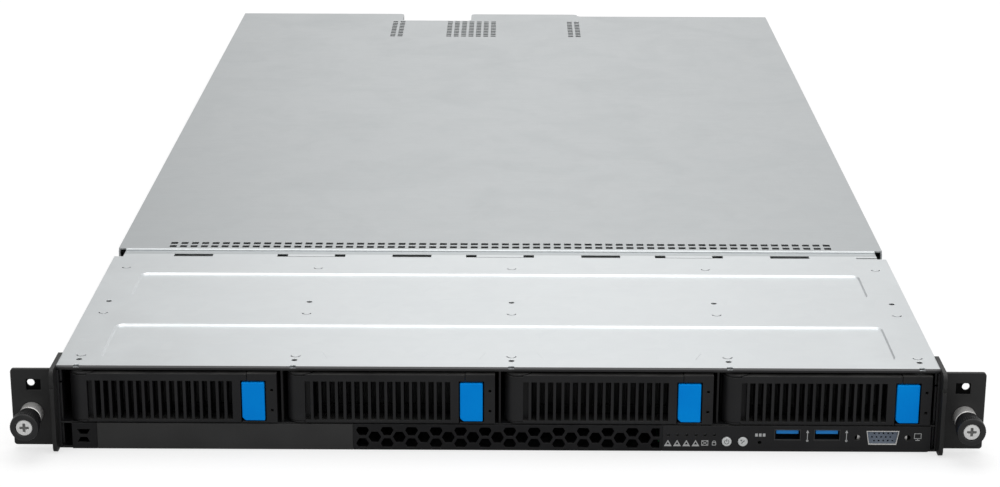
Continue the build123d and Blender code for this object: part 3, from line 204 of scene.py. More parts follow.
def rolledSheetGroup():
    outputs = {"Cloud": "Float", "Spangle": "Float", "Grain": "Float"}
    group, given, result = newGroup("rolledSheet", {"Spangle Scale": sheetEffect["spangleScale"]}, outputs)
    place = objectPlace(group)
    cells = addNode(group, "ShaderNodeTexVoronoi", {"Vector": place, "Scale": given["Spangle Scale"]})
    drawn = addNode(group, "ShaderNodeMapping", {"Vector": place, "Scale": sheetEffect["drawn"]}).outputs[0]
    feed(group, result, {
        "Cloud": noise(group, {"Vector": place, **sheetEffect["cloud"]}),
        "Spangle": cells.outputs["Color"],
        "Grain": noise(group, {"Vector": drawn, **sheetEffect["grain"]}),
    })
    return group


rolledSheet = rolledSheetGroup()


# Edges: Normal is rounded by Radius, and the second output shows where it leaves the flat one, broken up:
# worn edges on sheet steel, and on the dark mouldings partly wear and partly a painted highlight

edgeEffect = dict(
    radius=0.0003,
    samples=6,
    sharp=(0.99, 0.80),
    patches={"Scale": 260.0, "Detail": 4.0},
    broken=(0.42, 0.62),
)


def softEdgesGroup():
    outputs = {"Normal": "Vector", "RubbedAndHighlit": "Float"}
    group, given, result = newGroup("softEdges", {"Radius": edgeEffect["radius"]}, outputs)
    bevel = addNode(group, "ShaderNodeBevel", {"Radius": given["Radius"]}, samples=edgeEffect["samples"])
    rounded = bevel.outputs[0]
    normals = {0: rounded, 1: flatNormal(group)}
    agree = addNode(group, "ShaderNodeVectorMath", normals, operation="DOT_PRODUCT")
    sharp = mapRange(group, agree.outputs["Value"], *edgeEffect["sharp"])
    patches = noise(group, {"Vector": objectPlace(group), **edgeEffect["patches"]})
    broken = mapRange(group, patches, *edgeEffect["broken"])
    feed(group, result, {"Normal": rounded, "RubbedAndHighlit": mathNode(group, "MULTIPLY", sharp, broken)})
    return group


softEdges = softEdgesGroup()


# Dust: a thin uneven film where the surface looks up

dustEffect = dict(
    amount=0.1,
    film={"Scale": 45.0, "Detail": 6.0, "Roughness": 0.65},
    uneven=(0.35, 0.7, 0.3, 1.0),
    lookingUp=(0.2, 0.95),
)


def settledDustGroup():
    group, given, result = newGroup("settledDust", {"Amount": dustEffect["amount"]}, {"Mask": "Float"})
    up = mapRange(group, partsOf(group, flatNormal(group))["Z"], *dustEffect["lookingUp"])
    film = noise(group, {"Vector": objectPlace(group), **dustEffect["film"]})
    mask = mathNode(group, "MULTIPLY", up, mapRange(group, film, *dustEffect["uneven"]))
    feed(group, result, {"Mask": mathNode(group, "MULTIPLY", mask, given["Amount"])})
    return group


settledDust = settledDustGroup()


# Moulded or powdered skin: Height is the fine pebble, Tone a slow change of shade

pebbleEffect = dict(scale=2600.0, detail=2.0, tone={"Scale": 35.0, "Detail": 3.0})


def pebbledSkinGroup():
    outputs = {"Height": "Float", "Tone": "Float"}
    group, given, result = newGroup("pebbledSkin", {"Scale": pebbleEffect["scale"]}, outputs)
    place = objectPlace(group)
    feed(group, result, {
        "Height": noise(group, {"Vector": place, "Scale": given["Scale"], "Detail": pebbleEffect["detail"]}),
        "Tone": noise(group, {"Vector": place, **pebbleEffect["tone"]}),
    })
    return group


pebbledSkin = pebbledSkinGroup()


# Handling: broad streaks left by hands and cloths, which only change the gloss

smudgeEffect = dict(scale=18.0, streaks={"Detail": 5.0, "Distortion": 1.2}, shown=(0.45, 0.7))


def smudgesGroup():
    group, given, result = newGroup("smudges", {"Scale": smudgeEffect["scale"]}, {"Mask": "Float"})
    sockets = {"Vector": objectPlace(group), "Scale": given["Scale"], **smudgeEffect["streaks"]}
    feed(group, result, {"Mask": mapRange(group, noise(group, sockets), *smudgeEffect["shown"])})
    return group


smudges = smudgesGroup()
print("shared effects made")


# Sheet steel: zinc coated, each cover with its own batch of sheet

sheetLooks = {
    "frontCoverSteel": dict(light=(0.785, 0.815, 0.825), dark=(0.73, 0.76, 0.775), roughness=0.34, dust=0.05),
    "rearCoverSteel": dict(light=(0.565, 0.59, 0.60), dark=(0.52, 0.545, 0.555), roughness=0.36, dust=0.06),
    "chassisSteel": dict(light=(0.60, 0.62, 0.63), dark=(0.50, 0.52, 0.53), roughness=0.38, dust=0.08),
    "supplySteel": dict(light=(0.56, 0.57, 0.57), dark=(0.47, 0.48, 0.48), roughness=0.33, dust=0.08),
}
sheetFinish = dict(
    edge=0.25 * mm,
    spangleShare=0.35,
    cloudShare=0.65,
    rubbed=(0.82, 0.83, 0.83),
    dusty=(0.62, 0.60, 0.57),
    dustyMetal=0.2,
    handled=0.07,
    grainGloss=(0.3, 0.7, -0.03, 0.03),
    relief=0.01 * mm,
    strength=0.12,
)


def sheetSteel(name, look):
    tree, shader = newMaterial(name)
    sheet = useGroup(tree, rolledSheet)
    edge = useGroup(tree, softEdges, {"Radius": sheetFinish["edge"]})
    dust = useGroup(tree, settledDust, {"Amount": look["dust"]})["Mask"]
    hands = useGroup(tree, smudges)["Mask"]
    spangle = mathNode(tree, "MULTIPLY", sheet["Spangle"], sheetFinish["spangleShare"])
    cloud = mathNode(tree, "MULTIPLY", sheet["Cloud"], sheetFinish["cloudShare"])
    shade = mathNode(tree, "ADD", spangle, cloud)
    colour = mixColour(tree, shade, rgba(look["dark"]), rgba(look["light"]))
    colour = mixColour(tree, edge["RubbedAndHighlit"], colour, rgba(sheetFinish["rubbed"]))
    colour = mixColour(tree, dust, colour, rgba(sheetFinish["dusty"]))
    gloss = mapRange(tree, hands, 0, 1, look["roughness"], look["roughness"] + sheetFinish["handled"])
    grain = mapRange(tree, sheet["Grain"], *sheetFinish["grainGloss"])
    feed(tree, shader, {
        "Base Color": colour,
        "Metallic": mapRange(tree, dust, 0, 1, 1.0, sheetFinish["dustyMetal"]),
        "Roughness": mathNode(tree, "ADD", gloss, grain),
        "Normal": bump(tree, sheet["Grain"], sheetFinish["relief"], sheetFinish["strength"], edge["Normal"]),
    })
    return tree, shader, colour


# Moulded plastic and powder-coated steel

# the edge colour of each moulding is partly wear and, on the dark pieces, partly a painted highlight
skinLooks = {
    "bezelPlastic": dict(
        light=(0.013, 0.013, 0.014), dark=(0.007, 0.007, 0.008), rub=(0.045, 0.045, 0.045),
        roughness=0.46, pebble=3000.0, relief=0.012 * mm, dust=0.14, specular=0.32),
    "panelPlastic": dict(
        light=(0.028, 0.028, 0.028), dark=(0.021, 0.021, 0.021), rub=(0.05, 0.05, 0.05),
        roughness=0.42, pebble=3000.0, relief=0.01 * mm, dust=0.05, specular=0.42),
    "powderSteel": dict(
        light=(0.011, 0.011, 0.012), dark=(0.006, 0.006, 0.007), rub=(0.06, 0.06, 0.06),
        roughness=0.5, pebble=1700.0, relief=0.02 * mm, dust=0.04, specular=0.22),
    "earSteel": dict(
        light=(0.019, 0.019, 0.019), dark=(0.012, 0.012, 0.012), rub=(0.06, 0.06, 0.06),
        roughness=0.48, pebble=1700.0, relief=0.02 * mm, dust=0.04, specular=0.38),
    "innerPlastic": dict(
        light=(0.012, 0.012, 0.012), dark=(0.006, 0.006, 0.006), rub=(0.03, 0.03, 0.03),
        roughness=0.6, pebble=2200.0, relief=0.015 * mm, dust=0.12, specular=0.3),
    "gripPlastic": dict(
        light=(0.010, 0.010, 0.011), dark=(0.006, 0.006, 0.006), rub=(0.05, 0.05, 0.05),
        roughness=0.30, pebble=3000.0, relief=0.01 * mm, dust=0.01, specular=0.5),
    "bluePlastic": dict(
        light=(0.0, 0.335, 1.0), dark=(0.0, 0.30, 0.96), rub=(0.01, 0.36, 0.97),
        roughness=0.45, pebble=3000.0, relief=0.008 * mm, dust=0.0, specular=0.05),
    "socketBlue": dict(
        light=(0.01, 0.30, 0.86), dark=(0.005, 0.25, 0.75), rub=(0.05, 0.2, 0.5),
        roughness=0.4, pebble=3000.0, relief=0.006 * mm, dust=0.0, specular=0.45),
    "insertGrey": dict(
        light=(0.20, 0.24, 0.30), dark=(0.14, 0.17, 0.22), rub=(0.25, 0.28, 0.33),
        roughness=0.5, pebble=3000.0, relief=0.006 * mm, dust=0.0, specular=0.4),
    "capWhite": dict(
        light=(0.80, 0.82, 0.82), dark=(0.72, 0.74, 0.74), rub=(0.7, 0.7, 0.7),
        roughness=0.35, pebble=3000.0, relief=0.004 * mm, dust=0.05, specular=0.5),
    "latchGreen": dict(
        light=(0.02, 0.20, 0.07), dark=(0.01, 0.13, 0.045), rub=(0.08, 0.3, 0.12),
        roughness=0.42, pebble=3000.0, relief=0.008 * mm, dust=0.05, specular=0.45),
}
skinFinish = dict(
    edge=0.35 * mm,
    tone=(0.35, 0.65),
    wornAndHighlit=0.6,
    dusty=(0.35, 0.34, 0.32),
    glossTone=(0.3, 0.7),
    glossier=0.05,
    duller=0.06,
    strength=0.5,
)


def pebbled(name, look):
    tree, shader = newMaterial(name)
    skin = useGroup(tree, pebbledSkin, {"Scale": look["pebble"]})
    edge = useGroup(tree, softEdges, {"Radius": skinFinish["edge"]})
    dust = useGroup(tree, settledDust, {"Amount": look["dust"]})["Mask"]
    tone = mapRange(tree, skin["Tone"], *skinFinish["tone"])
    # edge colour: partly wear and partly a painted highlight on the dark pieces
    wornAndHighlit = mathNode(tree, "MULTIPLY", edge["RubbedAndHighlit"], skinFinish["wornAndHighlit"])
    colour = mixColour(tree, tone, rgba(look["dark"]), rgba(look["light"]))
    colour = mixColour(tree, wornAndHighlit, colour, rgba(look["rub"]))
    colour = mixColour(tree, dust, colour, rgba(skinFinish["dusty"]))
    glossRange = look["roughness"] - skinFinish["glossier"], look["roughness"] + skinFinish["duller"]
    feed(tree, shader, {
        "Base Color": colour,
        "Roughness": mapRange(tree, skin["Tone"], *skinFinish["glossTone"], *glossRange),
        "Specular IOR Level": look["specular"],
        "Normal": bump(tree, skin["Height"], look["relief"], skinFinish["strength"], edge["Normal"]),
    })
    return tree, shader, colour


# Bright metal: nickel plate, screw steel, bare aluminium and cast drive bodies

metalLooks = {
    "nickelPlate": dict(
        light=(0.88, 0.87, 0.85), dark=(0.74, 0.73, 0.71), roughness=0.30, pebble=900.0, metallic=0.6),
    # the socket shells: a darkened copy of the nickel plate, as painted shade inside the sockets
    "socketNickel": dict(
        light=(0.13, 0.13, 0.13), dark=(0.08, 0.08, 0.08), roughness=0.35, pebble=900.0, metallic=1.0),
    "screwSteel": dict(
        light=(0.93, 0.93, 0.92), dark=(0.82, 0.82, 0.81), roughness=0.36, pebble=700.0, metallic=0.3),
    "bareAluminium": dict(
        light=(0.78, 0.79, 0.80), dark=(0.64, 0.65, 0.66), roughness=0.35, pebble=600.0, metallic=1.0),
    "castBody": dict(
        light=(0.42, 0.43, 0.44), dark=(0.28, 0.29, 0.30), roughness=0.5, pebble=900.0, metallic=1.0),
}
metalFinish = dict(edge=0.2 * mm, glossTone=(0.3, 0.7), duller=0.12, relief=0.01 * mm, strength=0.25)


def brightMetal(name, look):
    tree, shader = newMaterial(name)
    skin = useGroup(tree, pebbledSkin, {"Scale": look["pebble"]})
    edge = useGroup(tree, softEdges, {"Radius": metalFinish["edge"]})
    colour = mixColour(tree, skin["Height"], rgba(look["dark"]), rgba(look["light"]))
    glossRange = look["roughness"], look["roughness"] + metalFinish["duller"]
    feed(tree, shader, {
        "Base Color": colour,
        "Metallic": look["metallic"],
        "Roughness": mapRange(tree, skin["Tone"], *metalFinish["glossTone"], *glossRange),
        "Normal": bump(tree, skin["Height"], metalFinish["relief"], metalFinish["strength"], edge["Normal"]),
    })
    return tree, shader, colour


# Printed signs

inkLooks = {
    "signInk": dict(colour=(0.62, 0.63, 0.63), thin=(0.45, 0.46, 0.46)),
    "capInk": dict(colour=(0.09, 0.10, 0.10), thin=(0.16, 0.17, 0.17)),
}
inkFinish = dict(pebble=4000.0, roughness=0.6)


def ink(name, look):
    tree, shader = newMaterial(name)
    skin = useGroup(tree, pebbledSkin, {"Scale": inkFinish["pebble"]})
    colour = mixColour(tree, skin["Height"], rgba(look["thin"]), rgba(look["colour"]))
    feed(tree, shader, {"Base Color": colour, "Roughness": inkFinish["roughness"]})
    return tree, shader, colour


# Paint over the front end of a metal piece, up to reach metres back: black paint on the chassis front ends,
# which also stands as painted shade inside the chassis there, and painted shade on the front of the drives
# behind the grilles. The front cover is also black below its sheet, as painted shade in the gap under it, and
# its lowered strip is darker behind the slots, as painted shade from the rear cover.

frontPaintAndShade = {
    # a dark grey front lip; the black below the sheet and the darker strip behind the slots are painted shade
    "frontCoverSteel": dict(
        reach=0.3 * mm, colour=(0.175, 0.175, 0.178),
        below=42.8 * mm, lowReach=60 * mm, lowColour=(0.010, 0.010, 0.011),
        shadeFrom=182.6 * mm, shadeUnder=(42.9 * mm, 43.0 * mm), shade=(0.56, 0.585, 0.595)),
    # black front ends, which also stand as painted shade over the inside of the chassis near the front
    "chassisSteel": dict(reach=60 * mm, colour=(0.010, 0.010, 0.011)),
    # painted shade on the drive fronts behind the grilles
    "castBody": dict(reach=16.5 * mm, colour=(0.02, 0.02, 0.021)),
}
paintFades = dict(edge=0.02 * mm, shade=0.8 * mm, low=1.0 * mm)


def until(tree, value, limit, fade):  # 1 below a limit, and 0 past its fade
    return mapRange(tree, value, limit, limit + fade, 1.0, 0.0)


def paintFrontAndShade(tree, shader, colour, look):
    apart = partsOf(tree, objectPlace(tree))
    painted = until(tree, apart["Y"], look["reach"], paintFades["edge"])
    colour = mixColour(tree, painted, colour, rgba(look["colour"]))
    # painted shade: the strip behind the slots is darker where the rear cover shades it
    if "shade" in look:
        behind = mapRange(tree, apart["Y"], look["shadeFrom"], look["shadeFrom"] + paintFades["shade"])
        under = mapRange(tree, apart["Z"], *look["shadeUnder"], 1.0, 0.0)
        shaded = mathNode(tree, "MULTIPLY", behind, under)
        colour = mixColour(tree, shaded, colour, rgba(look["shade"]))
    # painted shade: black under the cover's sheet near its front, where the gap below it lies in shade
    if "below" in look:
        below = until(tree, apart["Z"], look["below"], paintFades["edge"])
        ahead = until(tree, apart["Y"], look["lowReach"], paintFades["low"])
        low = mathNode(tree, "MULTIPLY", below, ahead)
        colour = mixColour(tree, low, colour, rgba(look["lowColour"]))
        painted = mathNode(tree, "MAXIMUM", painted, low)
    metallic = shader.inputs["Metallic"]
    metal = metallic.links[0].from_socket if metallic.links else metallic.default_value
    bare = mathNode(tree, "SUBTRACT", 1.0, painted)
    feed(tree, shader, {"Base Color": colour, "Metallic": mathNode(tree, "MULTIPLY", metal, bare)})


# The front-facing floor of the ears' shallow recess, between two depths, made darker and less glossy as
# painted shade

recessShades = {
    # painted shade on the floor of the ear recess
    "earSteel": dict(front=-1.5 * mm, rear=-0.5 * mm, fade=0.1 * mm, facing=(-0.9, -0.95),
                     colour=(0.002, 0.002, 0.002), specular=(0.38, 0.05)),
}


def shadeRecess(tree, shader, colour, look):
    back = partsOf(tree, objectPlace(tree))["Y"]
    mask = mapRange(tree, partsOf(tree, flatNormal(tree))["Y"], *look["facing"])
    past = mapRange(tree, back, look["front"], look["front"] + look["fade"])
    mask = mathNode(tree, "MULTIPLY", mask, past)
    mask = mathNode(tree, "MULTIPLY", mask, until(tree, back, look["rear"] - look["fade"], look["fade"]))
    # painted shade: darker colour and less shine on the recess floor
    feed(tree, shader, {
        "Base Color": mixColour(tree, mask, colour, rgba(look["colour"])),
        "Specular IOR Level": mapRange(tree, mask, 0.0, 1.0, *look["specular"]),
    })


# Circuit boards: green lacquer over faint tracks

boardLook = dict(
    lacquer=(0.006, 0.055, 0.022),
    track=(0.012, 0.095, 0.04),
    trackScale=420.0,
    trackEdge=(0.42, 0.5),
    roughness=0.3,
    relief=0.03 * mm,
    strength=0.4,
)


def lacqueredBoard():
    tree, shader = newMaterial("lacqueredBoard")
    sockets = {"Vector": objectPlace(tree), "Scale": boardLook["trackScale"]}
    cells = addNode(tree, "ShaderNodeTexVoronoi", sockets, distance="MANHATTAN", feature="F1")
    tracks = mapRange(tree, cells.outputs["Distance"], *boardLook["trackEdge"])
    feed(tree, shader, {
        "Base Color": mixColour(tree, tracks, rgba(boardLook["lacquer"]), rgba(boardLook["track"])),
        "Roughness": boardLook["roughness"],
        "Normal": bump(tree, tracks, boardLook["relief"], boardLook["strength"]),
    })


# Light guides: clear moulded plastic that looks smoky while unlit

guideLook = dict(clear=(0.05, 0.055, 0.055), core=(0.016, 0.018, 0.018), pebble=1500.0, roughness=0.15)


def smokyGuide():
    tree, shader = newMaterial("smokyGuide")
    skin = useGroup(tree, pebbledSkin, {"Scale": guideLook["pebble"]})
    colour = mixColour(tree, skin["Tone"], rgba(guideLook["core"]), rgba(guideLook["clear"]))
    feed(tree, shader, {"Base Color": colour, "Roughness": guideLook["roughness"]})


# The cross recess in the screw heads: bare steel that little light reaches

recessLook = dict(colour=(0.22, 0.22, 0.215), roughness=0.5)


def crossRecess():
    tree, shader = newMaterial("crossRecess")
    feed(tree, shader, {"Base Color": rgba(recessLook["colour"]), "Roughness": recessLook["roughness"]})


makers = (
    (sheetSteel, sheetLooks),
    (pebbled, skinLooks),
    (brightMetal, metalLooks),
    (ink, inkLooks),
)
for maker, looks in makers:
    for name, look in looks.items():
        made = maker(name, look)
        if name in frontPaintAndShade:
            paintFrontAndShade(*made, frontPaintAndShade[name])
        if name in recessShades:
            shadeRecess(*made, recessShades[name])
lacqueredBoard()
smokyGuide()
crossRecess()


# The finish of each CAD node

trayCount = 4
fanCount = 6
supplyCount = 2


def numbered(stem, count):
    return [f"{stem}_{number}" for number in range(1, count + 1)]


nodesOfFinish = {
    "frontCoverSteel": ["front_cover"],
    "rearCoverSteel": ["rear_cover"],
    "chassisSteel": ["chassis_base", "drive_cage"],
    "supplySteel": ["rear_panel", "psu_bay", *numbered("power_supply", supplyCount)],
    "bezelPlastic": ["front_io_panel", *numbered("drive_tray", trayCount),
                     *numbered("release_lever", trayCount)],
    "panelPlastic": ["blank_panel"],
    "powderSteel": ["mesh_panel"],
    "earSteel": ["left_ear", "right_ear"],
    "innerPlastic": ["bay_dividers", "drive_connectors", "fan_housings", "air_duct",
                     *numbered("fan_rotor", fanCount)],
    "gripPlastic": ["left_knob", "right_knob"],
    "bluePlastic": numbered("release_button", trayCount),
    "socketBlue": ["usb_tongues"],
    "insertGrey": ["vga_insert"],
    "capWhite": ["power_button", "locate_button"],
    "latchGreen": numbered("psu_latch", supplyCount),
    "nickelPlate": ["screw_ferrules", "vga_shell", "rear_ports"],
    # nickel darkened as painted shade
    "socketNickel": ["usb_sockets"],
    "screwSteel": ["cover_screws", "left_screw", "right_screw"],
    "bareAluminium": ["cpu_heatsinks"],
    "castBody": numbered("hard_drive", trayCount),
    "lacqueredBoard": ["front_io_board", "backplane", "main_board", "memory_modules"],
    "smokyGuide": ["status_light_guides"],
}
finishOfNode = {name: finish for finish, names in nodesOfFinish.items() for name in names}
for name, node in nodes.items():
    node.data.materials.clear()
    node.data.materials.append(finishes[finishOfNode[name]])
print("finishes on", len(nodes), "nodes")


# Edges of buttons, caps and latches, rounded a little

edgeWidths = {
    "release_button": 0.5 * mm,
    "power_button": 0.3 * mm,
    "locate_button": 0.3 * mm,
    "psu_latch": 0.4 * mm,
}
edgeLook = dict(weld=1e-6, flat=1, turn=40, segments=2)


def softenEdges(node, width):  # coplanar triangles are joined first, so that only true edges turn round
    node.modifiers.new("merge", "WELD").merge_threshold = edgeLook["weld"]
    flatten = node.modifiers.new("flatten", "DECIMATE")
    flatten.decimate_type = "DISSOLVE"
    flatten.angle_limit = math.radians(edgeLook["flat"])
    rounding = node.modifiers.new("rounding", "BEVEL")
    rounding.width = width
    rounding.segments = edgeLook["segments"]
    rounding.limit_method = "ANGLE"
    rounding.angle_limit = math.radians(edgeLook["turn"])
    rounding.harden_normals = True


for name, node in nodes.items():
    for start, width in edgeWidths.items():
        if name.startswith(start):
            softenEdges(node, width)
print("edges rounded")


# Thumbscrews: ridged grips and cross heads in place of the plain ones

gripLook = dict(
    barrel=6.12 * mm,
    ring=4.5 * mm,
    recess=2.5 * mm,
    mouth=0.3 * mm,
    corner=0.1 * mm,
    boreGap=0.05 * mm,
    edge=0.8 * mm,
    edgeCut=0.3,
    backCut=0.4,
    barrelRows=8,
    ringRows=7,
    ridges=40,
    pointsPerRidge=6,
    ridgeDepth=0.28 * mm,
    ridgeStart=0.5,
    ridgeBack=0.8,
    barrelStart=0.3 * mm,
    barrelShare=0.6,
    near=0.05 * mm,
    crease=40,
)
headLook = dict(
    steps=144,
    faceRings=30,
    radiusGap=0.12 * mm,
    rimWidth=0.3 * mm,
    dome=0.35 * mm,
    edge=0.5 * mm,
    headDepth=2.3 * mm,
    shank=1.9 * mm,
    thread=2.4 * mm,
    threadStart=0.4 * mm,
    tip=0.6 * mm,
    armHalf=0.62 * mm,
    armReach=2.5 * mm,
    armDepth=1.7 * mm,
    armRise=0.55,
    armSlope=0.35 * mm,
    near=0.01 * mm,
    darkFrom=0.25 * mm,
    darkUntil=0.1 * mm,
    crease=35,
)


def makeGrip(side):
    centre, outer, front, rear = roundSize(f"{side}_knob")
    inner = roundSize(f"{side}_screw")[1]
    bore = headLook["shank"] + gripLook["boreGap"]
    edge, barrel, step = gripLook["edge"], gripLook["barrel"], front + gripLook["ring"]
    cut, backCut = edge * gripLook["edgeCut"], edge * gripLook["backCut"]
    corner, mouth, floor = gripLook["corner"], gripLook["mouth"], front + gripLook["recess"]
    profile = [(bore, rear), (barrel - edge, rear), (barrel - cut, rear - cut)]
    profile += [(barrel, y) for y in np.linspace(rear - edge, step + corner, gripLook["barrelRows"])]
    profile += [(barrel + corner, step), (outer - backCut, step)]
    profile += [(outer, y) for y in np.linspace(step - backCut, front + edge, gripLook["ringRows"])]
    profile += [(outer - cut, front + cut), (outer - edge, front), (inner + mouth, front)]
    profile += [(inner, front + mouth), (inner, floor), (bore, floor)]

    def ridged(radius, along, angle):  # ridges run along the ring and the barrel, and fade out at their ends
        wave = 0.5 - 0.5 * np.cos(angle * gripLook["ridges"])
        margin = edge * gripLook["ridgeStart"]
        onRing = (radius > outer - gripLook["near"]) * smoothStep((along - front - margin) / edge)
        onRing = onRing * smoothStep((step - along) / (edge * gripLook["ridgeBack"]))
        onBarrel = np.abs(radius - barrel) < gripLook["near"]
        onBarrel = onBarrel * smoothStep((along - step - gripLook["barrelStart"]) / edge)
        onBarrel = onBarrel * smoothStep((rear - margin - along) / edge)
        depth = (onRing + onBarrel * gripLook["barrelShare"]) * wave * gripLook["ridgeDepth"]
        return radius - depth, along

    steps = gripLook["ridges"] * gripLook["pointsPerRidge"]
    points = turnedPoints(profile, steps, centre, ridged)
    faces = gridFaces(len(profile), steps, closedRows=True)
    grip = newPiece(f"{side}_grip", points, faces, f"{side}_thumbscrew")
    grip.data.materials.append(finishes["gripPlastic"])
    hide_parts(f"{side}_knob")
    creaseAt(grip, gripLook["crease"])


def makeHead(side):
    centre, radius, front, rear = roundSize(f"{side}_screw")
    radius = radius - headLook["radiusGap"]
    dome, back, reach = headLook["dome"], front + headLook["headDepth"], headLook["armReach"]
    shank, thread, start = headLook["shank"], headLook["thread"], headLook["threadStart"]
    tip = headLook["tip"]
    rings = np.linspace(0, radius - headLook["rimWidth"], headLook["faceRings"])
    profile = [(r, front + dome * (r / radius) ** 2) for r in rings]
    profile += [(radius, front + dome + headLook["edge"]), (radius, back), (shank, back), (shank, start)]
    profile += [(thread, start), (thread, rear - tip), (thread - tip, rear), (0, rear)]

    def crossed(r, along, angle):  # a cross-shaped recess, deepest in the middle, with sloping walls
        across, up = np.abs(r * np.sin(angle)), np.abs(r * np.cos(angle))
        inArm = smoothStep((headLook["armHalf"] - np.minimum(across, up)) / headLook["armSlope"] + 0.5)
        inReach = smoothStep((reach - r) / headLook["armSlope"])
        depth = headLook["armDepth"] * (1 - headLook["armRise"] * r / reach)
        onFace = along < front + dome + headLook["near"]
        return r, along + onFace * inArm * inReach * np.maximum(depth, 0)

    points = turnedPoints(profile, headLook["steps"], centre, crossed)
    faces = gridFaces(len(profile), headLook["steps"])
    head = newPiece(f"{side}_cross_screw", points, faces, f"{side}_thumbscrew")
    head.data.materials.append(finishes["screwSteel"])
    head.data.materials.append(finishes["crossRecess"])
    darkFrom, darkUntil = front + dome + headLook["darkFrom"], back - headLook["darkUntil"]
    for polygon in head.data.polygons:
        x, y, z = polygon.center
        central = math.hypot(x - centre[0], z - centre[1]) < reach
        polygon.material_index = int(central and darkFrom < y < darkUntil)
    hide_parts(f"{side}_screw")
    creaseAt(head, headLook["crease"])


for side in ("left", "right"):
    makeGrip(side)
    makeHead(side)
print("thumbscrews made")


# Printed signs beside the lights, buttons and sockets: plain shapes, in millimetres about their middle.
# A shape is a list of loops, filled as one, and a loop is a list of (x, z).

signLook = dict(thickness=0.05 * mm, line=0.28)


def circle(radius, middle, steps=40):
    angle = np.linspace(0, 2 * math.pi, steps, endpoint=False)
    return [(middle[0] + radius * math.cos(a), middle[1] + radius * math.sin(a)) for a in angle]


def bar(x0, z0, x1, z1, width):  # a straight stroke with square ends
    along = np.array([x1 - x0, z1 - z0], float)
    across = np.array([-along[1], along[0]]) / np.hypot(*along) * width / 2
    start, end = np.array([x0, z0]), np.array([x1, z1])
    return [tuple(corner) for corner in (start + across, end + across, end - across, start - across)]


def rectangle(x0, z0, x1, z1):
    return [(x0, z0), (x1, z0), (x1, z1), (x0, z1)]


def frameOf(width, height, line):  # a rectangle with a rectangular hole
    outer = rectangle(-width / 2, -height / 2, width / 2, height / 2)
    inner = [(x * (1 - 2 * line / width), z * (1 - 2 * line / height)) for x, z in outer]
    return [outer, inner]


def triangle(size):
    height = size * math.sqrt(3) / 2
    return [(-size / 2, -height / 2), (size / 2, -height / 2), (0, height / 2)]


def ringArc(radius, line, first, last, steps=30):  # part of a ring, angles in degrees from +X
    angle = np.radians(np.linspace(first, last, steps))
    outer = [(radius * math.cos(a), radius * math.sin(a)) for a in angle]
    inner = [((radius - line) * math.cos(a), (radius - line) * math.sin(a)) for a in angle[::-1]]
    return outer + inner


def moved(loops, x, z):
    return [[(px + x, pz + z) for px, pz in points] for points in loops]


def makeSign(name, shapes, face, body, finish):  # on the front-facing surface at y = face
    points, faces = [], []
    for loops in shapes:
        curve = bpy.data.curves.new("outline", "CURVE")
        curve.dimensions, curve.fill_mode = "2D", "BOTH"
        curve.extrude = signLook["thickness"] / mm / 2
        for outline in loops:
            spline = curve.splines.new("POLY")
            spline.points.add(len(outline) - 1)
            spline.use_cyclic_u = True
            for point, (x, z) in zip(spline.points, outline):
                point.co = (x, z, 0, 1)
        holder = bpy.data.objects.new("outline", curve)
        flat = bpy.data.meshes.new_from_object(holder)
        start = len(points)
        points += [tuple(vertex.co) for vertex in flat.vertices]
        faces += [[start + i for i in polygon.vertices] for polygon in flat.polygons]
        bpy.data.objects.remove(holder)
        bpy.data.curves.remove(curve)
        bpy.data.meshes.remove(flat)
    x, up, out = (np.array(points) * mm).T
    placed = np.stack([x, face - signLook["thickness"] / 2 - out, up], axis=-1)
    sign = newPiece(name, placed, faces, body, smooth=False)
    sign.data.materials.append(finishes[finish])


# Signs on the socket panel: four warning triangles, a crossed box and a lock over the light guides,
# linked blocks above the reset hole, an arrow beside each data socket and a screen beside the video socket

lightSigns = dict(inset=0.75 * mm, count=6, row=4.7, triangles=(3.9, 1.7), triangleDrop=0.1)
boxSign = dict(size=(3.4, 2.8), reach=(1.4, 1.1))
lockSign = dict(size=(2.0, 1.7), drop=0.4, arc=0.85, rise=0.45)
blockSigns = dict(middles=(129.4, 131.3, 133.2), half=0.65, bottom=8.3, top=9.9)
arrowSigns = dict(middles=(154.9, 174.4), bottom=6.0, neck=10.6, line=0.34, headHalf=0.75, headBottom=10.4,
                  tip=11.9, dot=0.6, dotHeight=6.2)
screenSign = dict(middle=210.0, height=8.9, size=(3.6, 2.9), foot=6.6, footHalf=1.1, neck=7.4, heavier=1.3)


def lightShapes(lights):
    *warned, boxed, locked = lights
    line, row = signLook["line"], lightSigns["row"]
    outer, inner = lightSigns["triangles"]
    warning = [triangle(outer), triangle(inner)]
    shapes = [moved(warning, x, row - lightSigns["triangleDrop"]) for x in warned]
    x, z = boxSign["reach"]
    for loops in (frameOf(*boxSign["size"], line), [bar(-x, z, x, -z, line)], [bar(-x, -z, x, z, line)]):
        shapes.append(moved(loops, boxed, row))
    shapes.append(moved(frameOf(*lockSign["size"], line), locked, row - lockSign["drop"]))
    shapes.append(moved([ringArc(lockSign["arc"], line, 0, 180)], locked, row + lockSign["rise"]))
    return shapes


def arrowShapes(x):
    look = arrowSigns
    half, bottom = look["headHalf"], look["headBottom"]
    head = [(x - half, bottom), (x + half, bottom), (x, look["tip"])]
    shaft = bar(x, look["bottom"], x, look["neck"], look["line"])
    return [[shaft], [head], [circle(look["dot"], (x, look["dotHeight"]))]]


def screenShapes():
    look = screenSign
    x, foot, line = look["middle"], look["foot"], signLook["line"] * look["heavier"]
    shapes = [moved(frameOf(*look["size"], signLook["line"]), x, look["height"])]
    shapes.append([bar(x - look["footHalf"], foot, x + look["footHalf"], foot, line)])
    shapes.append([bar(x, foot, x, look["neck"], line)])
    return shapes


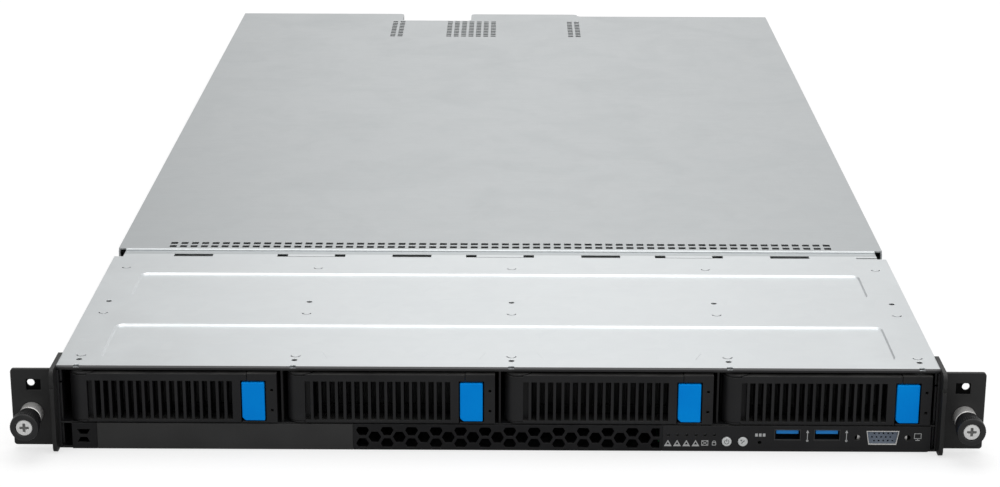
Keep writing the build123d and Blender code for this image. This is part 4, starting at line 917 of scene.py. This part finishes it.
def panelSigns():
    low, high = boxOf("status_light_guides")
    inset = lightSigns["inset"]
    shapes = lightShapes(np.linspace(low[0] + inset, high[0] - inset, lightSigns["count"]) / mm)
    half = blockSigns["half"]
    for x in blockSigns["middles"]:
        shapes.append([rectangle(x - half, blockSigns["bottom"], x + half, blockSigns["top"])])
    for x in arrowSigns["middles"]:
        shapes += arrowShapes(x)
    shapes += screenShapes()
    makeSign("panel_signs", shapes, boxOf("front_io_panel")[0][1], "chassis", "signInk")


capShapes = {
    "power_button": [[ringArc(1.25, 0.3, 125, 415)], [bar(0, 0.2, 0, 1.6, 0.3)]],
    "locate_button": [[bar(-0.75, -0.75, 0.75, 0.75, 0.42)], [circle(0.42, (-0.85, 0.85))]],
}


def capSign(node, shapes):
    (x, z), _, face, _ = roundSize(node)
    placed = [moved(loops, x / mm, z / mm) for loops in shapes]
    makeSign(f"{node}_sign", placed, face, node, "capInk")


panelSigns()
for name, shapes in capShapes.items():
    capSign(name, shapes)
print("signs made")


# Floor, light and camera

floorLook = dict(size=12.0, colour=(0.42, 0.42, 0.42), roughness=0.9, lift=0.64, sheen=0.12)
worldLook = dict(
    plain=0.62,
    left=(-0.28, -0.03, 0.42, 1.0),
    right=(0.03, 0.22, 1.0, 0.74),
    outer=(0.45, 0.75, 0.0, 0.95),
)
lampLooks = {
    "overhead": dict(place=(0.0, 0.35, 1.9), size=(2.0, 1.8), radiance=1.5, aim=(0.0, 0.35, 0.0)),
    "frontRight": dict(place=(1.3, -1.3, 1.2), size=(1.2, 1.0), radiance=1.2, aim=(0.0, 0.1, 0.0)),
}
cameraLook = dict(
    place=(0.00643, -1.06165, 0.44763),
    down=0.3093,
    aside=-0.0052,
    roll=0.0026,
    focal=2284.25,
    imageWidth=1000,
    sensor=36.0,
    clip=(0.01, 50),
)


def rayKinds(tree):  # 1 for rays from the camera, and 1 for mirrored or refracted ones
    path = addNode(tree, "ShaderNodeLightPath").outputs
    mirrored = mathNode(tree, "MAXIMUM", path["Is Glossy Ray"], path["Is Transmission Ray"])
    return path["Is Camera Ray"], mirrored


def makeFloor():
    half = floorLook["size"] / 2
    corners = [(-half, -half, 0), (half, -half, 0), (half, half, 0), (-half, half, 0)]
    mesh = bpy.data.meshes.new("floor")
    mesh.from_pydata(corners, [], [(0, 1, 2, 3)])
    floor = bpy.data.objects.new("floor", mesh)
    scene.collection.objects.link(floor)
    tree, shader = newMaterial("paleFloor")
    camera, mirrored = rayKinds(tree)
    lift = mathNode(tree, "MULTIPLY", camera, floorLook["lift"])
    sheen = mathNode(tree, "MULTIPLY", mirrored, floorLook["sheen"])
    feed(tree, shader, {
        "Base Color": rgba(floorLook["colour"]),
        "Roughness": floorLook["roughness"],
        "Specular IOR Level": 0.0,
        "Emission Color": (1, 1, 1, 1),
        "Emission Strength": mathNode(tree, "ADD", lift, sheen),
    })
    floor.data.materials.append(finishes["paleFloor"])


def makeWorld():  # mirrored rays see it brightest ahead, duller to each side and bright again far out
    scene.world = bpy.data.worlds.new("studio")
    scene.world.use_nodes = True
    tree = scene.world.node_tree
    direction = addNode(tree, "ShaderNodeTexCoord").outputs["Generated"]
    across = partsOf(tree, direction)["X"]
    left = mapRange(tree, across, *worldLook["left"], interpolation_type="SMOOTHSTEP")
    right = mapRange(tree, across, *worldLook["right"], interpolation_type="SMOOTHSTEP")
    outer = mapRange(tree, mathNode(tree, "ABSOLUTE", across), *worldLook["outer"])
    glow = mathNode(tree, "MAXIMUM", mathNode(tree, "MINIMUM", left, right), outer)
    camera, mirrored = rayKinds(tree)
    level = addNode(tree, "ShaderNodeMix", {0: mirrored, 2: worldLook["plain"], 3: glow}).outputs[0]
    level = addNode(tree, "ShaderNodeMix", {0: camera, 2: level, 3: 1.0}).outputs[0]
    feed(tree, tree.nodes["Background"], {"Strength": level, "Color": (1, 1, 1, 1)})


def makeLamp(name, look):
    width, depth = look["size"]
    lamp = bpy.data.lights.new(name, "AREA")
    lamp.shape, lamp.size, lamp.size_y = "RECTANGLE", width, depth
    lamp.energy = look["radiance"] * math.pi * width * depth
    holder = bpy.data.objects.new(name, lamp)
    holder.location = look["place"]
    towards = Vector(look["aim"]) - Vector(look["place"])
    holder.rotation_euler = towards.to_track_quat("-Z", "Y").to_euler()
    scene.collection.objects.link(holder)


def makeCamera():
    camera = bpy.data.cameras.new("photoView")
    camera.sensor_width = cameraLook["sensor"]
    camera.lens = cameraLook["focal"] / cameraLook["imageWidth"] * cameraLook["sensor"]
    camera.clip_start, camera.clip_end = cameraLook["clip"]
    holder = bpy.data.objects.new("photoView", camera)
    turn = Matrix.Rotation(-cameraLook["aside"], 4, "Z")
    tilt = Matrix.Rotation(math.pi / 2 - cameraLook["down"], 4, "X")
    roll = Matrix.Rotation(cameraLook["roll"], 4, "Z")
    holder.matrix_world = Matrix.Translation(cameraLook["place"]) @ turn @ tilt @ roll
    scene.collection.objects.link(holder)
    scene.camera = holder


makeFloor()
makeWorld()
for name, look in lampLooks.items():
    makeLamp(name, look)
makeCamera()
scene.view_settings.view_transform = "Standard"
print("stage ready")
